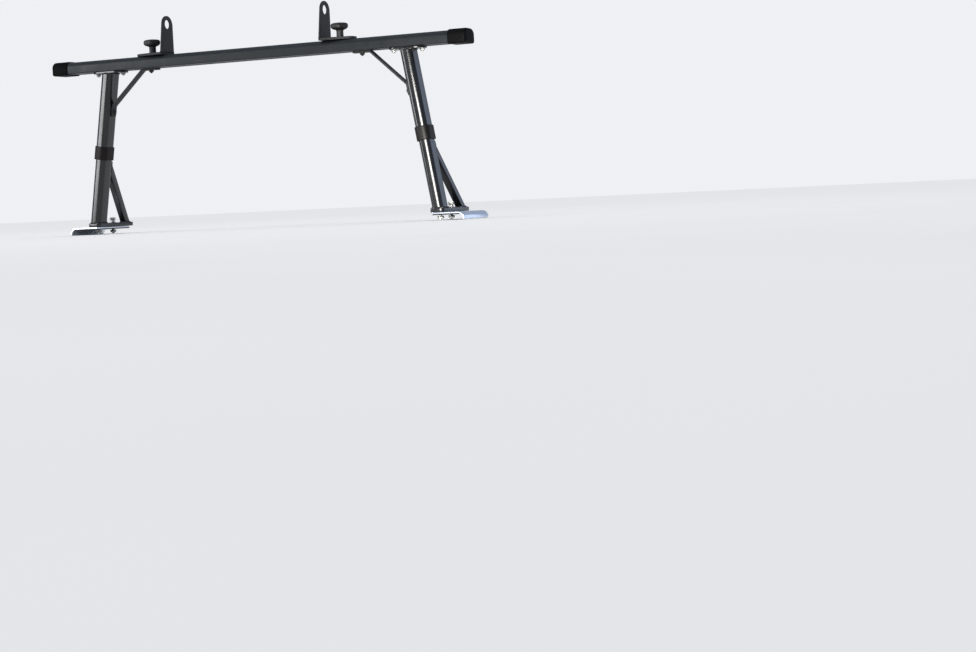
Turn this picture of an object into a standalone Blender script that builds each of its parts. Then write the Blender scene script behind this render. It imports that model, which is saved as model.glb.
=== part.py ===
"""Over-bed ladder rack: one slotted crossbar on two leaning telescopic legs.

Metres, +Z up, +X to the right along the crossbar, +Y towards the cab.
The rack stands on the outer lips of its two rail brackets at Z = 0, and is
modelled at its lowest height. Left is -X and right is +X.
"""

from math import cos, pi, radians, sin, sqrt, tan

import bmesh
import bpy
from mathutils import Matrix, Vector

GAP = 0.0003                    # clearance between touching pieces

# Overall layout
BAR_LENGTH = 1.524
BAR_WIDTH = 0.068
BAR_HEIGHT = 0.040
LEG_SPACING = 1.290             # between the leg centres at the feet
LEG_LEAN = radians(9.5)         # both legs lean inwards
LEG_RISE = 0.510                # from the top of a foot plate to the bar's underside
LEG_Y = -0.0685                 # the plane of both legs and of the crossbar

# Crossbar extrusion
BAR_WALL = 0.0025
BAR_FLAT_HALF = 0.014           # half width of the flat top
BAR_SHOULDER_DROP = 0.017       # from the flat top down to the straight side
BAR_EDGE_RADIUS = 0.003
SLOT_HALF = 0.0055              # half width of a T-slot's mouth
SLOT_LIP = 0.003
SLOT_CHAMBER_HALF = 0.0105
SLOT_CHAMBER_DEPTH = 0.009

# End caps
CAP_LENGTH = 0.062
CAP_OVERHANG = 0.013            # past the end of the bar
CAP_WALL = 0.003
CAP_END_WALL = 0.004

# Legs
POST_WIDTH = 0.042              # across, along X
POST_DEPTH = 0.062              # fore and aft
POST_RADIUS = 0.017
POST_WALL = 0.0015
LOWER_POST_LENGTH = 0.480
COLLAR_LENGTH = 0.045
COLLAR_START = 0.218            # up the leg, from the top of the foot plate
COLLAR_WALL = 0.00375
COLLAR_LEDGE = 0.012
BRACE_SIZE = 0.024
BRACE_RADIUS = 0.003
BRACE_WALL = 0.002
BRACE_TOP = 0.214               # where its front edge meets the post
BRACE_REACH = 0.170             # its front edge at the foot, ahead of the leg's centre
LOCK_SCREW_UP = 0.030           # from the bottom of the collar to the lock screw
LOWER_SHRINK = POST_WALL + GAP  # the lower post slides inside the upper one

# Feet
BRACKET_THICK = 0.005
BRACKET_HEIGHT = 0.025
BRACKET_BEND = 0.022
BRACKET_INBOARD = 0.016
BRACKET_OUTBOARD = 0.095
BRACKET_REAR = 0.033            # behind the leg's centre
BRACKET_FRONT = 0.160           # ahead of the leg's centre
BRACKET_CORNER = 0.012
GASKET_THICK = 0.003
GASKET_OUTBOARD = 0.068
FOOT_WIDTH = 0.048
FOOT_THICK = 0.013
FOOT_REAR = 0.032
FOOT_FRONT = 0.176
FOOT_RADIUS = 0.012
FOOT_BOLT_AHEAD = 0.082

# Plates and straps under the bar
TOP_PLATE_LENGTH = 0.124
TOP_PLATE_WIDTH = 0.064
TOP_PLATE_THICK = 0.006
TOP_BOLT_OFFSET = 0.050
STRAP_WIDTH = 0.025
STRAP_THICK = 0.006
STRAP_REACH = 0.131             # its upper bend, inboard of the leg's top
STRAP_DROP = 0.116              # its lower bend, below the bar
STRAP_TAB = 0.062
STRAP_LOWER_TAB = 0.036
STRAP_SCREW_LOW = 0.002         # of its screw below the middle of the lower tab

# Load stops and their knobs
STOP_LEFT_X = -0.332
STOP_RIGHT_X = 0.265
STOP_PLATE_THICK = 0.005
STOP_HEIGHT = 0.129
STOP_TOP_RADIUS = 0.031
STOP_TOP_AHEAD = 0.008          # the round top leans towards the cab
STOP_BASE_WIDTH = 0.078
STOP_BASE_THICK = 0.008
STOP_BASE_LENGTH = 0.110
STOP_BASE_TIP = 0.020
STOP_BASE_STRAIGHT = 0.030      # full width before it narrows
EYE_RADIUS = 0.015
EYE_DROP = 0.028                # eye centre below the top of the plate
KNOB_OFFSET = 0.056
KNOB_RADIUS = 0.029
KNOB_LOBES = 5
KNOB_LOBE_DEPTH = 0.004
KNOB_HUB_RADIUS = 0.0115
KNOB_HUB_HEIGHT = 0.021
KNOB_HEAD_HEIGHT = 0.023
INSERT_RADIUS = 0.007
INSERT_LENGTH = 0.018

# Fasteners
M6 = 0.003                      # radii of the bolts
M8 = 0.004
M10 = 0.005
HOLE_PLAY = 0.0006              # radial play of a bolt in its hole
NUT_M8_FLATS = 0.013
NUT_M8_HEIGHT = 0.0065
NUT_M10_FLATS = 0.017
NUT_M10_HEIGHT = 0.0085
HEAD_M10_HEIGHT = 0.009
HEAD_M8_HEIGHT = 0.0055
HEAD_M6_FLATS = 0.010
HEAD_M6_HEIGHT = 0.004
FLANGE_M6_RADIUS = 0.0075
FLANGE_M6_THICK = 0.0015
RAIL_SHEET = 0.003              # room for the sheet of the bed rail above the lower nuts
BOLT_TAIL = 0.003               # past its nut
WASHER_THICK = 0.002
STOP_WASHER_RADIUS = 0.013
T_HEAD_HALF = 0.0095
T_HEAD_THICK = 0.005
BUSH_RADIUS = 0.007
BUSH_HEIGHT = 0.0085
BUSH_FLANGE_RADIUS = 0.011
BUSH_FLANGE_THICK = 0.002
STOP_BOLT_SPARE = 0.004         # of a stop's slot bolt past the insert in its knob

# Heights that follow from the sizes above
GASKET_BASE_Z = BRACKET_HEIGHT - BRACKET_THICK - GAP - GASKET_THICK
FOOT_BASE_Z = BRACKET_HEIGHT + GAP
FOOT_TOP_Z = FOOT_BASE_Z + FOOT_THICK
BAR_Z = FOOT_TOP_Z + LEG_RISE
BAR_TOP_Z = BAR_Z + BAR_HEIGHT
TOP_PLATE_Z = BAR_Z - GAP - TOP_PLATE_THICK
LEG_TOP_X = LEG_SPACING / 2 - LEG_RISE * tan(LEG_LEAN)

ARC_STEPS = 6                   # facets in a quarter round
ROUND_STEPS = 16                # facets round a bolt or a hole

UP = (0, 0, 1)
LEFT = -1
RIGHT = 1
SIDE_NAMES = {LEFT: "left", RIGHT: "right"}


# ---------------------------------------------------------------- scene and helpers

def clear_scene():
    for obj in list(bpy.data.objects):
        bpy.data.objects.remove(obj, do_unlink=True)


def new_collection(name):
    collection = bpy.data.collections.new(name)
    bpy.context.scene.collection.children.link(collection)
    return collection


def new_material(name, color, roughness, metallic=0.0):
    material = bpy.data.materials.new(name)
    material.use_nodes = True
    shader = material.node_tree.nodes["Principled BSDF"]
    shader.inputs["Base Color"].default_value = (*color, 1.0)
    shader.inputs["Roughness"].default_value = roughness
    shader.inputs["Metallic"].default_value = metallic
    return material


clear_scene()
RACK = new_collection("ladder_rack")
CUTTERS = new_collection("cutters")

BAR_PAINT = new_material("bar_powder_coat", (0.070, 0.082, 0.092), 0.5)
LEG_PAINT = new_material("leg_gloss_powder_coat", (0.016, 0.018, 0.021), 0.28)
STOP_PAINT = new_material("stop_black_paint", (0.026, 0.026, 0.027), 0.55)
CAP_PLASTIC = new_material("cap_black_plastic", (0.008, 0.008, 0.009), 0.6)
COLLAR_PLASTIC = new_material("collar_plastic", (0.017, 0.012, 0.012), 0.45)
KNOB_PLASTIC = new_material("knob_plastic", (0.020, 0.020, 0.022), 0.5)
GASKET_RUBBER = new_material("gasket_rubber", (0.012, 0.012, 0.012), 0.85)
BRACKET_METAL = new_material("bracket_aluminium", (0.80, 0.82, 0.85), 0.25, 1.0)
ZINC = new_material("zinc_plate", (0.62, 0.63, 0.65), 0.35, 1.0)
BRASS = new_material("brass_insert", (0.70, 0.53, 0.25), 0.35, 1.0)


def empty(name, location, parent=None):
    """Axis marker, placed in world axes, that the pieces of one moving body hang on."""
    marker = bpy.data.objects.new(name, None)
    marker.empty_display_size = 0.05
    marker.location = Vector(location) - world_place(parent)
    marker.parent = parent
    RACK.objects.link(marker)
    return marker


def world_place(marker):
    """Where an empty stands in the world, through the empties that it hangs on."""
    place = Vector((0, 0, 0))
    while marker is not None:
        place += marker.location
        marker = marker.parent
    return place


def add_part(name, mesh, material, location=(0, 0, 0), turn=0.0, parent=None):
    """Object for one piece; turn is its rotation about Y, location is in world axes."""
    obj = bpy.data.objects.new(name, mesh)
    mesh.name = name
    mesh.materials.clear()
    mesh.materials.append(material)
    mesh.shade_smooth()
    mesh.set_sharp_from_angle(angle=radians(32))
    obj.location = Vector(location) - world_place(parent)
    obj.rotation_euler = (0, turn, 0)
    obj.parent = parent
    RACK.objects.link(obj)
    return obj


def mesh_from(build):
    """Mesh filled by a function that works on a BMesh."""
    mesh = bpy.data.meshes.new("mesh")
    bm = bmesh.new()
    build(bm)
    bmesh.ops.recalc_face_normals(bm, faces=bm.faces)
    bm.to_mesh(mesh)
    bm.free()
    return mesh


def outline_mesh(loops, thickness):
    """Plate in XY with the given loops, the first one outside and the rest holes."""
    curve = bpy.data.curves.new("outline", "CURVE")
    curve.dimensions = "2D"
    curve.fill_mode = "BOTH"
    curve.extrude = thickness / 2
    for loop in loops:
        spline = curve.splines.new("POLY")
        spline.points.add(len(loop) - 1)
        for point, (x, y) in zip(spline.points, loop):
            point.co = (x, y, 0, 1)
        spline.use_cyclic_u = True
    shape = bpy.data.objects.new("outline", curve)
    RACK.objects.link(shape)
    graph = bpy.context.evaluated_depsgraph_get()
    mesh = bpy.data.meshes.new_from_object(shape.evaluated_get(graph))
    bpy.data.objects.remove(shape, do_unlink=True)
    bpy.data.curves.remove(curve)
    bm = bmesh.new()
    bm.from_mesh(mesh)
    bmesh.ops.remove_doubles(bm, verts=bm.verts, dist=0.00001)
    bmesh.ops.recalc_face_normals(bm, faces=bm.faces)
    bm.to_mesh(mesh)
    bm.free()
    return mesh


def at(x, y, z):
    return Matrix.Translation((x, y, z))


def placed(mesh, matrix):
    """The mesh moved by a matrix, with its faces kept pointing out."""
    mesh.transform(matrix)
    if matrix.determinant() < 0:
        mesh.flip_normals()
    return mesh


def arc(center_x, center_y, radius_x, radius_y, start, end, steps=ARC_STEPS):
    """Points on an elliptical arc, both ends included, angles in degrees."""
    points = []
    for step in range(steps + 1):
        angle = radians(start + (end - start) * step / steps)
        points.append((center_x + radius_x * cos(angle), center_y + radius_y * sin(angle)))
    return points


def rounded_box(low_x, high_x, low_y, high_y, radius, steps=ARC_STEPS):
    """Rectangle outline with round corners."""
    points = arc(high_x - radius, high_y - radius, radius, radius, 0, 90, steps)
    points += arc(low_x + radius, high_y - radius, radius, radius, 90, 180, steps)
    points += arc(low_x + radius, low_y + radius, radius, radius, 180, 270, steps)
    points += arc(high_x - radius, low_y + radius, radius, radius, 270, 360, steps)
    return points


def circle(center_x, center_y, radius, steps=ROUND_STEPS):
    points = arc(center_x, center_y, radius, radius, 0, 360, steps)
    return points[:-1]


def add_prism(bm, radius, low, high, sides=ROUND_STEPS, center=(0, 0), top_radius=None):
    """Upright prism or cone frustum from low to high in a BMesh."""
    place = Matrix.Translation((center[0], center[1], (low + high) / 2))
    top = radius if top_radius is None else top_radius
    bmesh.ops.create_cone(bm, cap_ends=True, cap_tris=False, segments=sides, radius1=radius,
                          radius2=top, depth=high - low, matrix=place)


def add_box(bm, low, high):
    """Axis-aligned box between two corners in a BMesh."""
    size = [high[axis] - low[axis] for axis in range(3)]
    middle = [(high[axis] + low[axis]) / 2 for axis in range(3)]
    place = Matrix.Translation(middle) @ Matrix.Diagonal((*size, 1))
    bmesh.ops.create_cube(bm, size=1, matrix=place)


def cutter(mesh, like):
    """Hidden object for a Boolean, placed as the object that it works on."""
    obj = bpy.data.objects.new("cutter", mesh)
    obj.location = like.location
    obj.rotation_euler = like.rotation_euler
    obj.parent = like.parent
    obj.hide_render = True
    obj.display_type = "WIRE"
    CUTTERS.objects.link(obj)
    return obj


def boolean(obj, mesh, operation="DIFFERENCE"):
    modifier = obj.modifiers.new(operation.lower(), "BOOLEAN")
    modifier.operation = operation
    modifier.solver = "EXACT"
    modifier.object = cutter(mesh, obj)


def bevel(obj, width, segments=2, angle=50):
    modifier = obj.modifiers.new("round_edges", "BEVEL")
    modifier.width = width
    modifier.segments = segments
    modifier.limit_method = "ANGLE"
    modifier.angle_limit = radians(angle)


def hex_radius(flats):
    """Corner radius of a hexagon from its size across the flats."""
    return flats / sqrt(3)


def ring_mesh(radius, bore, height):
    """Round washer or bush standing on Z = 0."""
    mesh = outline_mesh([circle(0, 0, radius), circle(0, 0, bore)], height)
    return placed(mesh, at(0, 0, height / 2))


def split_shells(mesh):
    """The separate closed shells of a mesh, each as a mesh of its own."""
    bm = bmesh.new()
    bm.from_mesh(mesh)
    remaining = set(bm.verts)
    shells = []
    while remaining:
        group = {remaining.pop()}
        frontier = list(group)
        while frontier:
            vertex = frontier.pop()
            for edge in vertex.link_edges:
                other = edge.other_vert(vertex)
                if other not in group:
                    group.add(other)
                    frontier.append(other)
        remaining -= group
        shells.append({vertex.index for vertex in group})
    bm.free()
    shells.sort(key=min)
    meshes = []
    for shell in shells:
        part = bmesh.new()
        part.from_mesh(mesh)
        part.verts.ensure_lookup_table()
        extra = [vertex for vertex in part.verts if vertex.index not in shell]
        bmesh.ops.delete(part, geom=extra, context="VERTS")
        piece = bpy.data.meshes.new("shell")
        part.to_mesh(piece)
        part.free()
        meshes.append(piece)
    return meshes


def solid_union(build, drill=None):
    """One solid from overlapping closed shapes, with an optional shape cut out of it."""
    shells = split_shells(mesh_from(build))
    base = bpy.data.objects.new("union", shells[0])
    RACK.objects.link(base)
    steps = [("UNION", shell) for shell in shells[1:]]
    if drill is not None:
        steps.append(("DIFFERENCE", mesh_from(drill)))
    helpers = []
    for operation, mesh in steps:
        helper = bpy.data.objects.new("helper", mesh)
        CUTTERS.objects.link(helper)
        modifier = base.modifiers.new(operation.lower(), "BOOLEAN")
        modifier.operation = operation
        modifier.solver = "EXACT"
        modifier.object = helper
        helpers.append(helper)
    graph = bpy.context.evaluated_depsgraph_get()
    result = bpy.data.meshes.new_from_object(base.evaluated_get(graph))
    for obj in [base] + helpers:
        bpy.data.objects.remove(obj, do_unlink=True)
    return result


def flange_nut_mesh(flats, height, bore):
    """Hexagon nut standing on Z = 0 under its own washer flange, which is at the top."""
    flange = height / 5

    def body(bm):
        add_prism(bm, hex_radius(flats), 0, height - flange / 2, 6)
        add_prism(bm, flats * 0.58, height - flange, height, top_radius=flats * 0.66)

    def hole(bm):
        add_prism(bm, bore, -height, 2 * height)
    return solid_union(body, hole)


def hex_bolt_mesh(flats, head, stem, length):
    """Hexagon-headed bolt: head from Z = 0 up, stem down for the length."""
    def build(bm):
        add_prism(bm, hex_radius(flats), 0, head, 6)
        add_prism(bm, stem, -length, head / 4)
    return solid_union(build)


# ---------------------------------------------------------------- crossbar and caps

def bar_outline(offset):
    """Loaf section in Y and Z, base at Z = 0: flat base, straight sides, round shoulders."""
    half = BAR_WIDTH / 2 + offset
    edge = BAR_EDGE_RADIUS + offset
    across = BAR_WIDTH / 2 - BAR_FLAT_HALF + offset
    drop = BAR_SHOULDER_DROP + offset
    shoulder_z = BAR_HEIGHT - BAR_SHOULDER_DROP
    points = arc(half - edge, edge - offset, edge, edge, 270, 360, 3)
    points += arc(BAR_FLAT_HALF, shoulder_z, across, drop, 0, 90, 8)
    return points


def mirrored(points):
    """A right-hand half outline closed by its mirror image."""
    return points + [(-x, y) for x, y in reversed(points)]


def slotted_bar_outline():
    """Outer outline of the extrusion with a T-slot mouth in its top and its base."""
    chamber = SLOT_LIP + SLOT_CHAMBER_DEPTH
    base_slot = [
        (SLOT_CHAMBER_HALF, chamber),
        (SLOT_CHAMBER_HALF, SLOT_LIP),
        (SLOT_HALF, SLOT_LIP),
        (SLOT_HALF, 0),
    ]
    top_slot = [(x, BAR_HEIGHT - z) for x, z in reversed(base_slot)]
    return mirrored(base_slot + bar_outline(0) + top_slot)


def bar_chambers():
    """Hollows inside the extrusion: one at each side and one between the slots."""
    web = SLOT_CHAMBER_HALF + BAR_WALL
    inner = [point for point in bar_outline(-BAR_WALL) if point[0] > web]
    top = inner[-1][1]
    side = [(web, BAR_WALL)] + inner + [(web, top)]
    floor = SLOT_LIP + SLOT_CHAMBER_DEPTH + BAR_WALL
    half = SLOT_CHAMBER_HALF - BAR_WALL
    core = [(-half, floor), (half, floor), (half, BAR_HEIGHT - floor), (-half, BAR_HEIGHT - floor)]
    return [side, [(-x, y) for x, y in side], core]


# Turns a section drawn in XY (Y across, Z up) so that it is extruded along X.
ALONG_X = Matrix(((0, 0, 1, 0), (1, 0, 0, 0), (0, 1, 0, 0), (0, 0, 0, 1)))


def make_crossbar(lift):
    mesh = outline_mesh([slotted_bar_outline()] + bar_chambers(), BAR_LENGTH)
    add_part("crossbar", placed(mesh, ALONG_X), BAR_PAINT, (0, LEG_Y, BAR_Z), parent=lift)


def make_end_cap(side, lift):
    """Moulded sleeve over the end of the bar, closed at its outer end."""
    outer_end = BAR_LENGTH / 2 + CAP_OVERHANG
    inner_end = outer_end - CAP_LENGTH
    middle = side * (outer_end + inner_end) / 2
    shell = outline_mesh([mirrored(bar_outline(GAP + CAP_WALL))], CAP_LENGTH)
    cap = add_part("end_cap_" + SIDE_NAMES[side], placed(shell, ALONG_X), CAP_PLASTIC,
                   (middle, LEG_Y, BAR_Z), parent=lift)
    bevel(cap, 0.0025, 2)
    hollow = outline_mesh([mirrored(bar_outline(GAP))], CAP_LENGTH)
    shift = Matrix.Translation((-side * CAP_END_WALL, 0, 0))
    boolean(cap, placed(hollow, shift @ ALONG_X))


# ---------------------------------------------------------------- legs

def leg_frame(side):
    """Axes of a leg: Z up along it, X across it, from its centre on the foot plate."""
    origin = Vector((side * LEG_SPACING / 2, LEG_Y, FOOT_TOP_Z))
    return Matrix.Translation(origin) @ Matrix.Rotation(-side * LEG_LEAN, 4, "Y")


def trimmed_tube(loops, frame, start, end):
    """Tube along the frame's Z, each end trimmed by a plane given as (point, normal)."""
    mesh = outline_mesh(loops, 1.0)
    direction = (frame.to_3x3() @ Vector((0, 0, 1))).normalized()
    for vertex in mesh.vertices:
        point, normal = start if vertex.co.z < 0 else end
        base = frame @ Vector((vertex.co.x, vertex.co.y, 0))
        travel = (Vector(point) - base).dot(Vector(normal)) / direction.dot(Vector(normal))
        vertex.co = base + direction * travel
    return mesh


def in_leg_axes(mesh, frame):
    """World mesh taken back into the leg's own axes, where its object is placed."""
    return placed(mesh, frame.inverted())


def post_loops(shrink, wall):
    """Outer and inner outline of a post's oval tube, shrunk all round."""
    half_x = POST_WIDTH / 2 - shrink
    half_y = POST_DEPTH / 2 - shrink
    radius = POST_RADIUS - shrink
    outer = rounded_box(-half_x, half_x, -half_y, half_y, radius)
    inner = rounded_box(wall - half_x, half_x - wall, wall - half_y, half_y - wall, radius - wall)
    return [outer, inner]


def add_leg_part(name, mesh, material, side, parent=None):
    frame = leg_frame(side)
    return add_part(name, in_leg_axes(mesh, frame), material, frame.translation,
                    -side * LEG_LEAN, parent)


def along_leg(side, distance):
    return leg_frame(side) @ Vector((0, 0, distance))


def leg_direction(side):
    return leg_frame(side).to_3x3() @ Vector((0, 0, 1))


def make_lower_post(side):
    floor = ((0, 0, FOOT_TOP_Z + GAP), UP)
    top = (along_leg(side, LOWER_POST_LENGTH), leg_direction(side))
    mesh = trimmed_tube(post_loops(LOWER_SHRINK, POST_WALL), leg_frame(side), floor, top)
    add_leg_part("lower_post_" + SIDE_NAMES[side], mesh, LEG_PAINT, side)


def make_upper_post(side, slide):
    bottom = (along_leg(side, COLLAR_START + COLLAR_LEDGE + GAP), leg_direction(side))
    top = ((0, 0, TOP_PLATE_Z - GAP), UP)
    mesh = trimmed_tube(post_loops(0, POST_WALL), leg_frame(side), bottom, top)
    post = add_leg_part("upper_post_" + SIDE_NAMES[side], mesh, LEG_PAINT, side, slide)
    boolean(post, lock_hole_mesh())
    boolean(post, strap_screw_hole_mesh(side))


def lock_screw_height():
    """Up the leg, where the clamp screw passes the collar and the upper post."""
    return COLLAR_START + LOCK_SCREW_UP


def lock_hole_mesh():
    """Fore-and-aft hole through the front wall only, in the leg's axes."""
    place = Matrix.Translation((0, POST_DEPTH / 2, lock_screw_height()))
    place = place @ Matrix.Rotation(pi / 2, 4, "X")
    mesh = mesh_from(lambda bm: add_prism(bm, M8 + HOLE_PLAY, -0.012, 0.012))
    return placed(mesh, place)


def make_collar(side, slide):
    """Moulded guide collar: seated on the upper post, running on the lower one."""
    half_x = POST_WIDTH / 2 + COLLAR_WALL
    half_y = POST_DEPTH / 2 + COLLAR_WALL
    radius = POST_RADIUS + COLLAR_WALL
    outer = rounded_box(-half_x, half_x, -half_y, half_y, radius)
    running = post_loops(LOWER_SHRINK - GAP, POST_WALL)[0]
    mesh = outline_mesh([outer, running], COLLAR_LENGTH)
    middle = Matrix.Translation((0, 0, COLLAR_START + COLLAR_LENGTH / 2))
    frame = leg_frame(side)
    collar = add_part("collar_" + SIDE_NAMES[side], placed(mesh, middle), COLLAR_PLASTIC,
                      frame.translation, -side * LEG_LEAN, slide)
    seat = outline_mesh([post_loops(-GAP, POST_WALL)[0]], COLLAR_LENGTH)
    boolean(collar, placed(seat, Matrix.Translation((0, 0, COLLAR_LEDGE)) @ middle))
    boolean(collar, lock_hole_mesh())


def make_lock_screw(side, slide):
    """Clamp screw on the forward face; its tip stops just short of the lower post."""
    seat = POST_DEPTH / 2 + COLLAR_WALL + GAP
    tip = POST_DEPTH / 2 - POST_WALL
    mesh = hex_bolt_mesh(NUT_M8_FLATS, HEAD_M8_HEIGHT, M8, seat - tip)
    out = Matrix.Translation((0, seat, lock_screw_height())) @ Matrix.Rotation(-pi / 2, 4, "X")
    add_part("lock_screw_" + SIDE_NAMES[side], placed(mesh, out), ZINC,
             leg_frame(side).translation, -side * LEG_LEAN, slide)


def make_lower_brace(side):
    """Square tube from the front of the foot plate up to the post, in the leg's plane."""
    face = POST_DEPTH / 2 - LOWER_SHRINK
    slope = Vector((0, face - BRACE_REACH, BRACE_TOP)).normalized()
    front = Vector((0, BRACE_REACH, 0))
    forward = Vector((0, slope.z, -slope.y))
    origin = front - forward * BRACE_SIZE / 2
    turn = Matrix((Vector((1, 0, 0)), forward, slope)).transposed().to_4x4()
    frame = leg_frame(side) @ Matrix.Translation(origin) @ turn
    half = BRACE_SIZE / 2
    hollow = half - BRACE_WALL
    loops = [rounded_box(-half, half, -half, half, BRACE_RADIUS, 2),
             rounded_box(-hollow, hollow, -hollow, hollow, BRACE_RADIUS - BRACE_WALL, 2)]
    floor = ((0, 0, FOOT_TOP_Z + GAP), UP)
    post_face = (leg_frame(side) @ Vector((0, face + GAP, 0)), (0, 1, 0))
    mesh = trimmed_tube(loops, frame, floor, post_face)
    add_leg_part("lower_brace_" + SIDE_NAMES[side], mesh, LEG_PAINT, side)


# ---------------------------------------------------------------- feet

def bolt_places(side):
    """The two bolts of a foot: one inside the post and one ahead of it."""
    x = side * LEG_SPACING / 2
    return [(x, LEG_Y), (x, LEG_Y + FOOT_BOLT_AHEAD)]


def foot_holes():
    """Bolt holes in a foot's own axes, origin at the leg's centre."""
    return [circle(0, 0, M10 + HOLE_PLAY), circle(0, FOOT_BOLT_AHEAD, M10 + HOLE_PLAY)]


def make_foot_plate(side):
    half = FOOT_WIDTH / 2
    outline = rounded_box(-half, half, -FOOT_REAR, FOOT_FRONT, FOOT_RADIUS)
    mesh = outline_mesh([outline] + foot_holes(), FOOT_THICK)
    place = (side * LEG_SPACING / 2, LEG_Y, FOOT_BASE_Z + FOOT_THICK / 2)
    plate = add_part("foot_plate_" + SIDE_NAMES[side], mesh, LEG_PAINT, place)
    bevel(plate, 0.001, 1)


def bracket_section():
    """Bent sheet seen along Y: flat from inboard, then curved down to the lip at Z = 0."""
    bend_x = BRACKET_OUTBOARD - BRACKET_BEND
    bend_z = BRACKET_HEIGHT - BRACKET_BEND
    inner = BRACKET_BEND - BRACKET_THICK
    points = [(-BRACKET_INBOARD, BRACKET_HEIGHT - BRACKET_THICK), (-BRACKET_INBOARD, BRACKET_HEIGHT)]
    points += arc(bend_x, bend_z, BRACKET_BEND, BRACKET_BEND, 90, 0)
    points += [(BRACKET_OUTBOARD, 0), (BRACKET_OUTBOARD - BRACKET_THICK, 0)]
    points += arc(bend_x, bend_z, inner, inner, 0, 90)
    return points


def make_rail_bracket(side):
    """Aluminium bracket on the bed rail, its front lip corner rounded."""
    section = [(side * x, z) for x, z in bracket_section()]
    length = BRACKET_REAR + BRACKET_FRONT
    mesh = outline_mesh([section], length)
    stand = Matrix.Translation((0, (BRACKET_FRONT - BRACKET_REAR) / 2, 0))
    placed(mesh, stand @ Matrix.Rotation(pi / 2, 4, "X"))
    bracket = add_part("rail_bracket_" + SIDE_NAMES[side], mesh, BRACKET_METAL,
                       (side * LEG_SPACING / 2, LEG_Y, 0))
    reach = 2 * BRACKET_OUTBOARD
    above = BRACKET_HEIGHT * 2
    corner = arc(BRACKET_FRONT - BRACKET_CORNER, BRACKET_CORNER, BRACKET_CORNER, BRACKET_CORNER,
                 270, 360)
    keep = corner + [(BRACKET_FRONT, above), (-2 * BRACKET_REAR, above), (-2 * BRACKET_REAR, 0)]
    boolean(bracket, placed(outline_mesh([keep], 2 * reach), ALONG_X), "INTERSECT")
    for x, y in ((0, 0), (0, FOOT_BOLT_AHEAD)):
        drill = mesh_from(lambda bm: add_prism(bm, M10 + HOLE_PLAY, 0, above, center=(x, y)))
        boolean(bracket, drill)


def make_rail_gasket(side):
    """Rubber sheet under the flat of the bracket."""
    low, high = sorted((-side * BRACKET_INBOARD, side * GASKET_OUTBOARD))
    outline = rounded_box(low, high, -BRACKET_REAR, BRACKET_FRONT, 0.004, 3)
    mesh = outline_mesh([outline] + foot_holes(), GASKET_THICK)
    top = BRACKET_HEIGHT - BRACKET_THICK - GAP
    place = (side * LEG_SPACING / 2, LEG_Y, top - GASKET_THICK / 2)
    add_part("rail_gasket_" + SIDE_NAMES[side], mesh, GASKET_RUBBER, place)


def make_foot_fasteners(side):
    """A bolt inside the post and one ahead of it, each with a flange nut under the rail."""
    nut_z = GASKET_BASE_Z - RAIL_SHEET - NUT_M10_HEIGHT
    tail_z = nut_z - BOLT_TAIL
    bush_z = FOOT_TOP_Z + GAP
    head_z = {"post_bolt": FOOT_TOP_Z + GAP, "foot_bolt": bush_z + BUSH_HEIGHT + GAP}
    end = "_" + SIDE_NAMES[side]
    for (x, y), kind in zip(bolt_places(side), ("post_bolt", "foot_bolt")):
        bolt = hex_bolt_mesh(NUT_M10_FLATS, HEAD_M10_HEIGHT, M10, head_z[kind] - tail_z)
        add_part(kind + end, bolt, ZINC, (x, y, head_z[kind]))
        nut = flange_nut_mesh(NUT_M10_FLATS, NUT_M10_HEIGHT, M10 + GAP)
        add_part(kind + "_nut" + end, nut, ZINC, (x, y, nut_z))

    def bush(bm):
        add_prism(bm, BUSH_RADIUS, 0, BUSH_HEIGHT)
        add_prism(bm, BUSH_FLANGE_RADIUS, 0, BUSH_FLANGE_THICK)

    def bore(bm):
        add_prism(bm, M10 + HOLE_PLAY, -BUSH_HEIGHT, 2 * BUSH_HEIGHT)
    x, y = bolt_places(side)[1]
    add_part("foot_bolt_bush" + end, solid_union(bush, bore), ZINC, (x, y, bush_z))


# ---------------------------------------------------------------- under the bar

def t_bolt_mesh(length):
    """Square-headed slot bolt: head from Z = 0 up, stem down for the length."""
    def build(bm):
        add_box(bm, (-T_HEAD_HALF, -T_HEAD_HALF, 0), (T_HEAD_HALF, T_HEAD_HALF, T_HEAD_THICK))
        add_prism(bm, M8, -length, T_HEAD_THICK / 4)
    return solid_union(build)


def make_top_plate(side, slide):
    """Flange welded on the leg, bolted up into the slot in the bar's base."""
    half_x = TOP_PLATE_LENGTH / 2
    half_y = TOP_PLATE_WIDTH / 2
    outline = rounded_box(-half_x, half_x, -half_y, half_y, half_y - 0.002, 8)
    holes = [circle(x, 0, M8 + HOLE_PLAY) for x in (-TOP_BOLT_OFFSET, TOP_BOLT_OFFSET)]
    mesh = outline_mesh([outline] + holes, TOP_PLATE_THICK)
    place = (side * LEG_TOP_X, LEG_Y, TOP_PLATE_Z + TOP_PLATE_THICK / 2)
    add_part("top_plate_" + SIDE_NAMES[side], mesh, LEG_PAINT, place, parent=slide)


def make_slot_bolt(kind, side, x, clamped, slide, finish):
    """Slot bolt in the bar's base with a flange nut under a plate of the clamped thickness."""
    end = "_" + SIDE_NAMES[side]
    head_z = BAR_Z + SLOT_LIP + GAP
    nut_z = BAR_Z - GAP - clamped - GAP - NUT_M8_HEIGHT
    bolt = t_bolt_mesh(head_z - nut_z + BOLT_TAIL)
    nut = flange_nut_mesh(NUT_M8_FLATS, NUT_M8_HEIGHT, M8 + GAP)
    add_part(kind + "_bolt" + end, bolt, finish, (x, LEG_Y, head_z), parent=slide)
    add_part(kind + "_nut" + end, nut, finish, (x, LEG_Y, nut_z), parent=slide)


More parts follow.
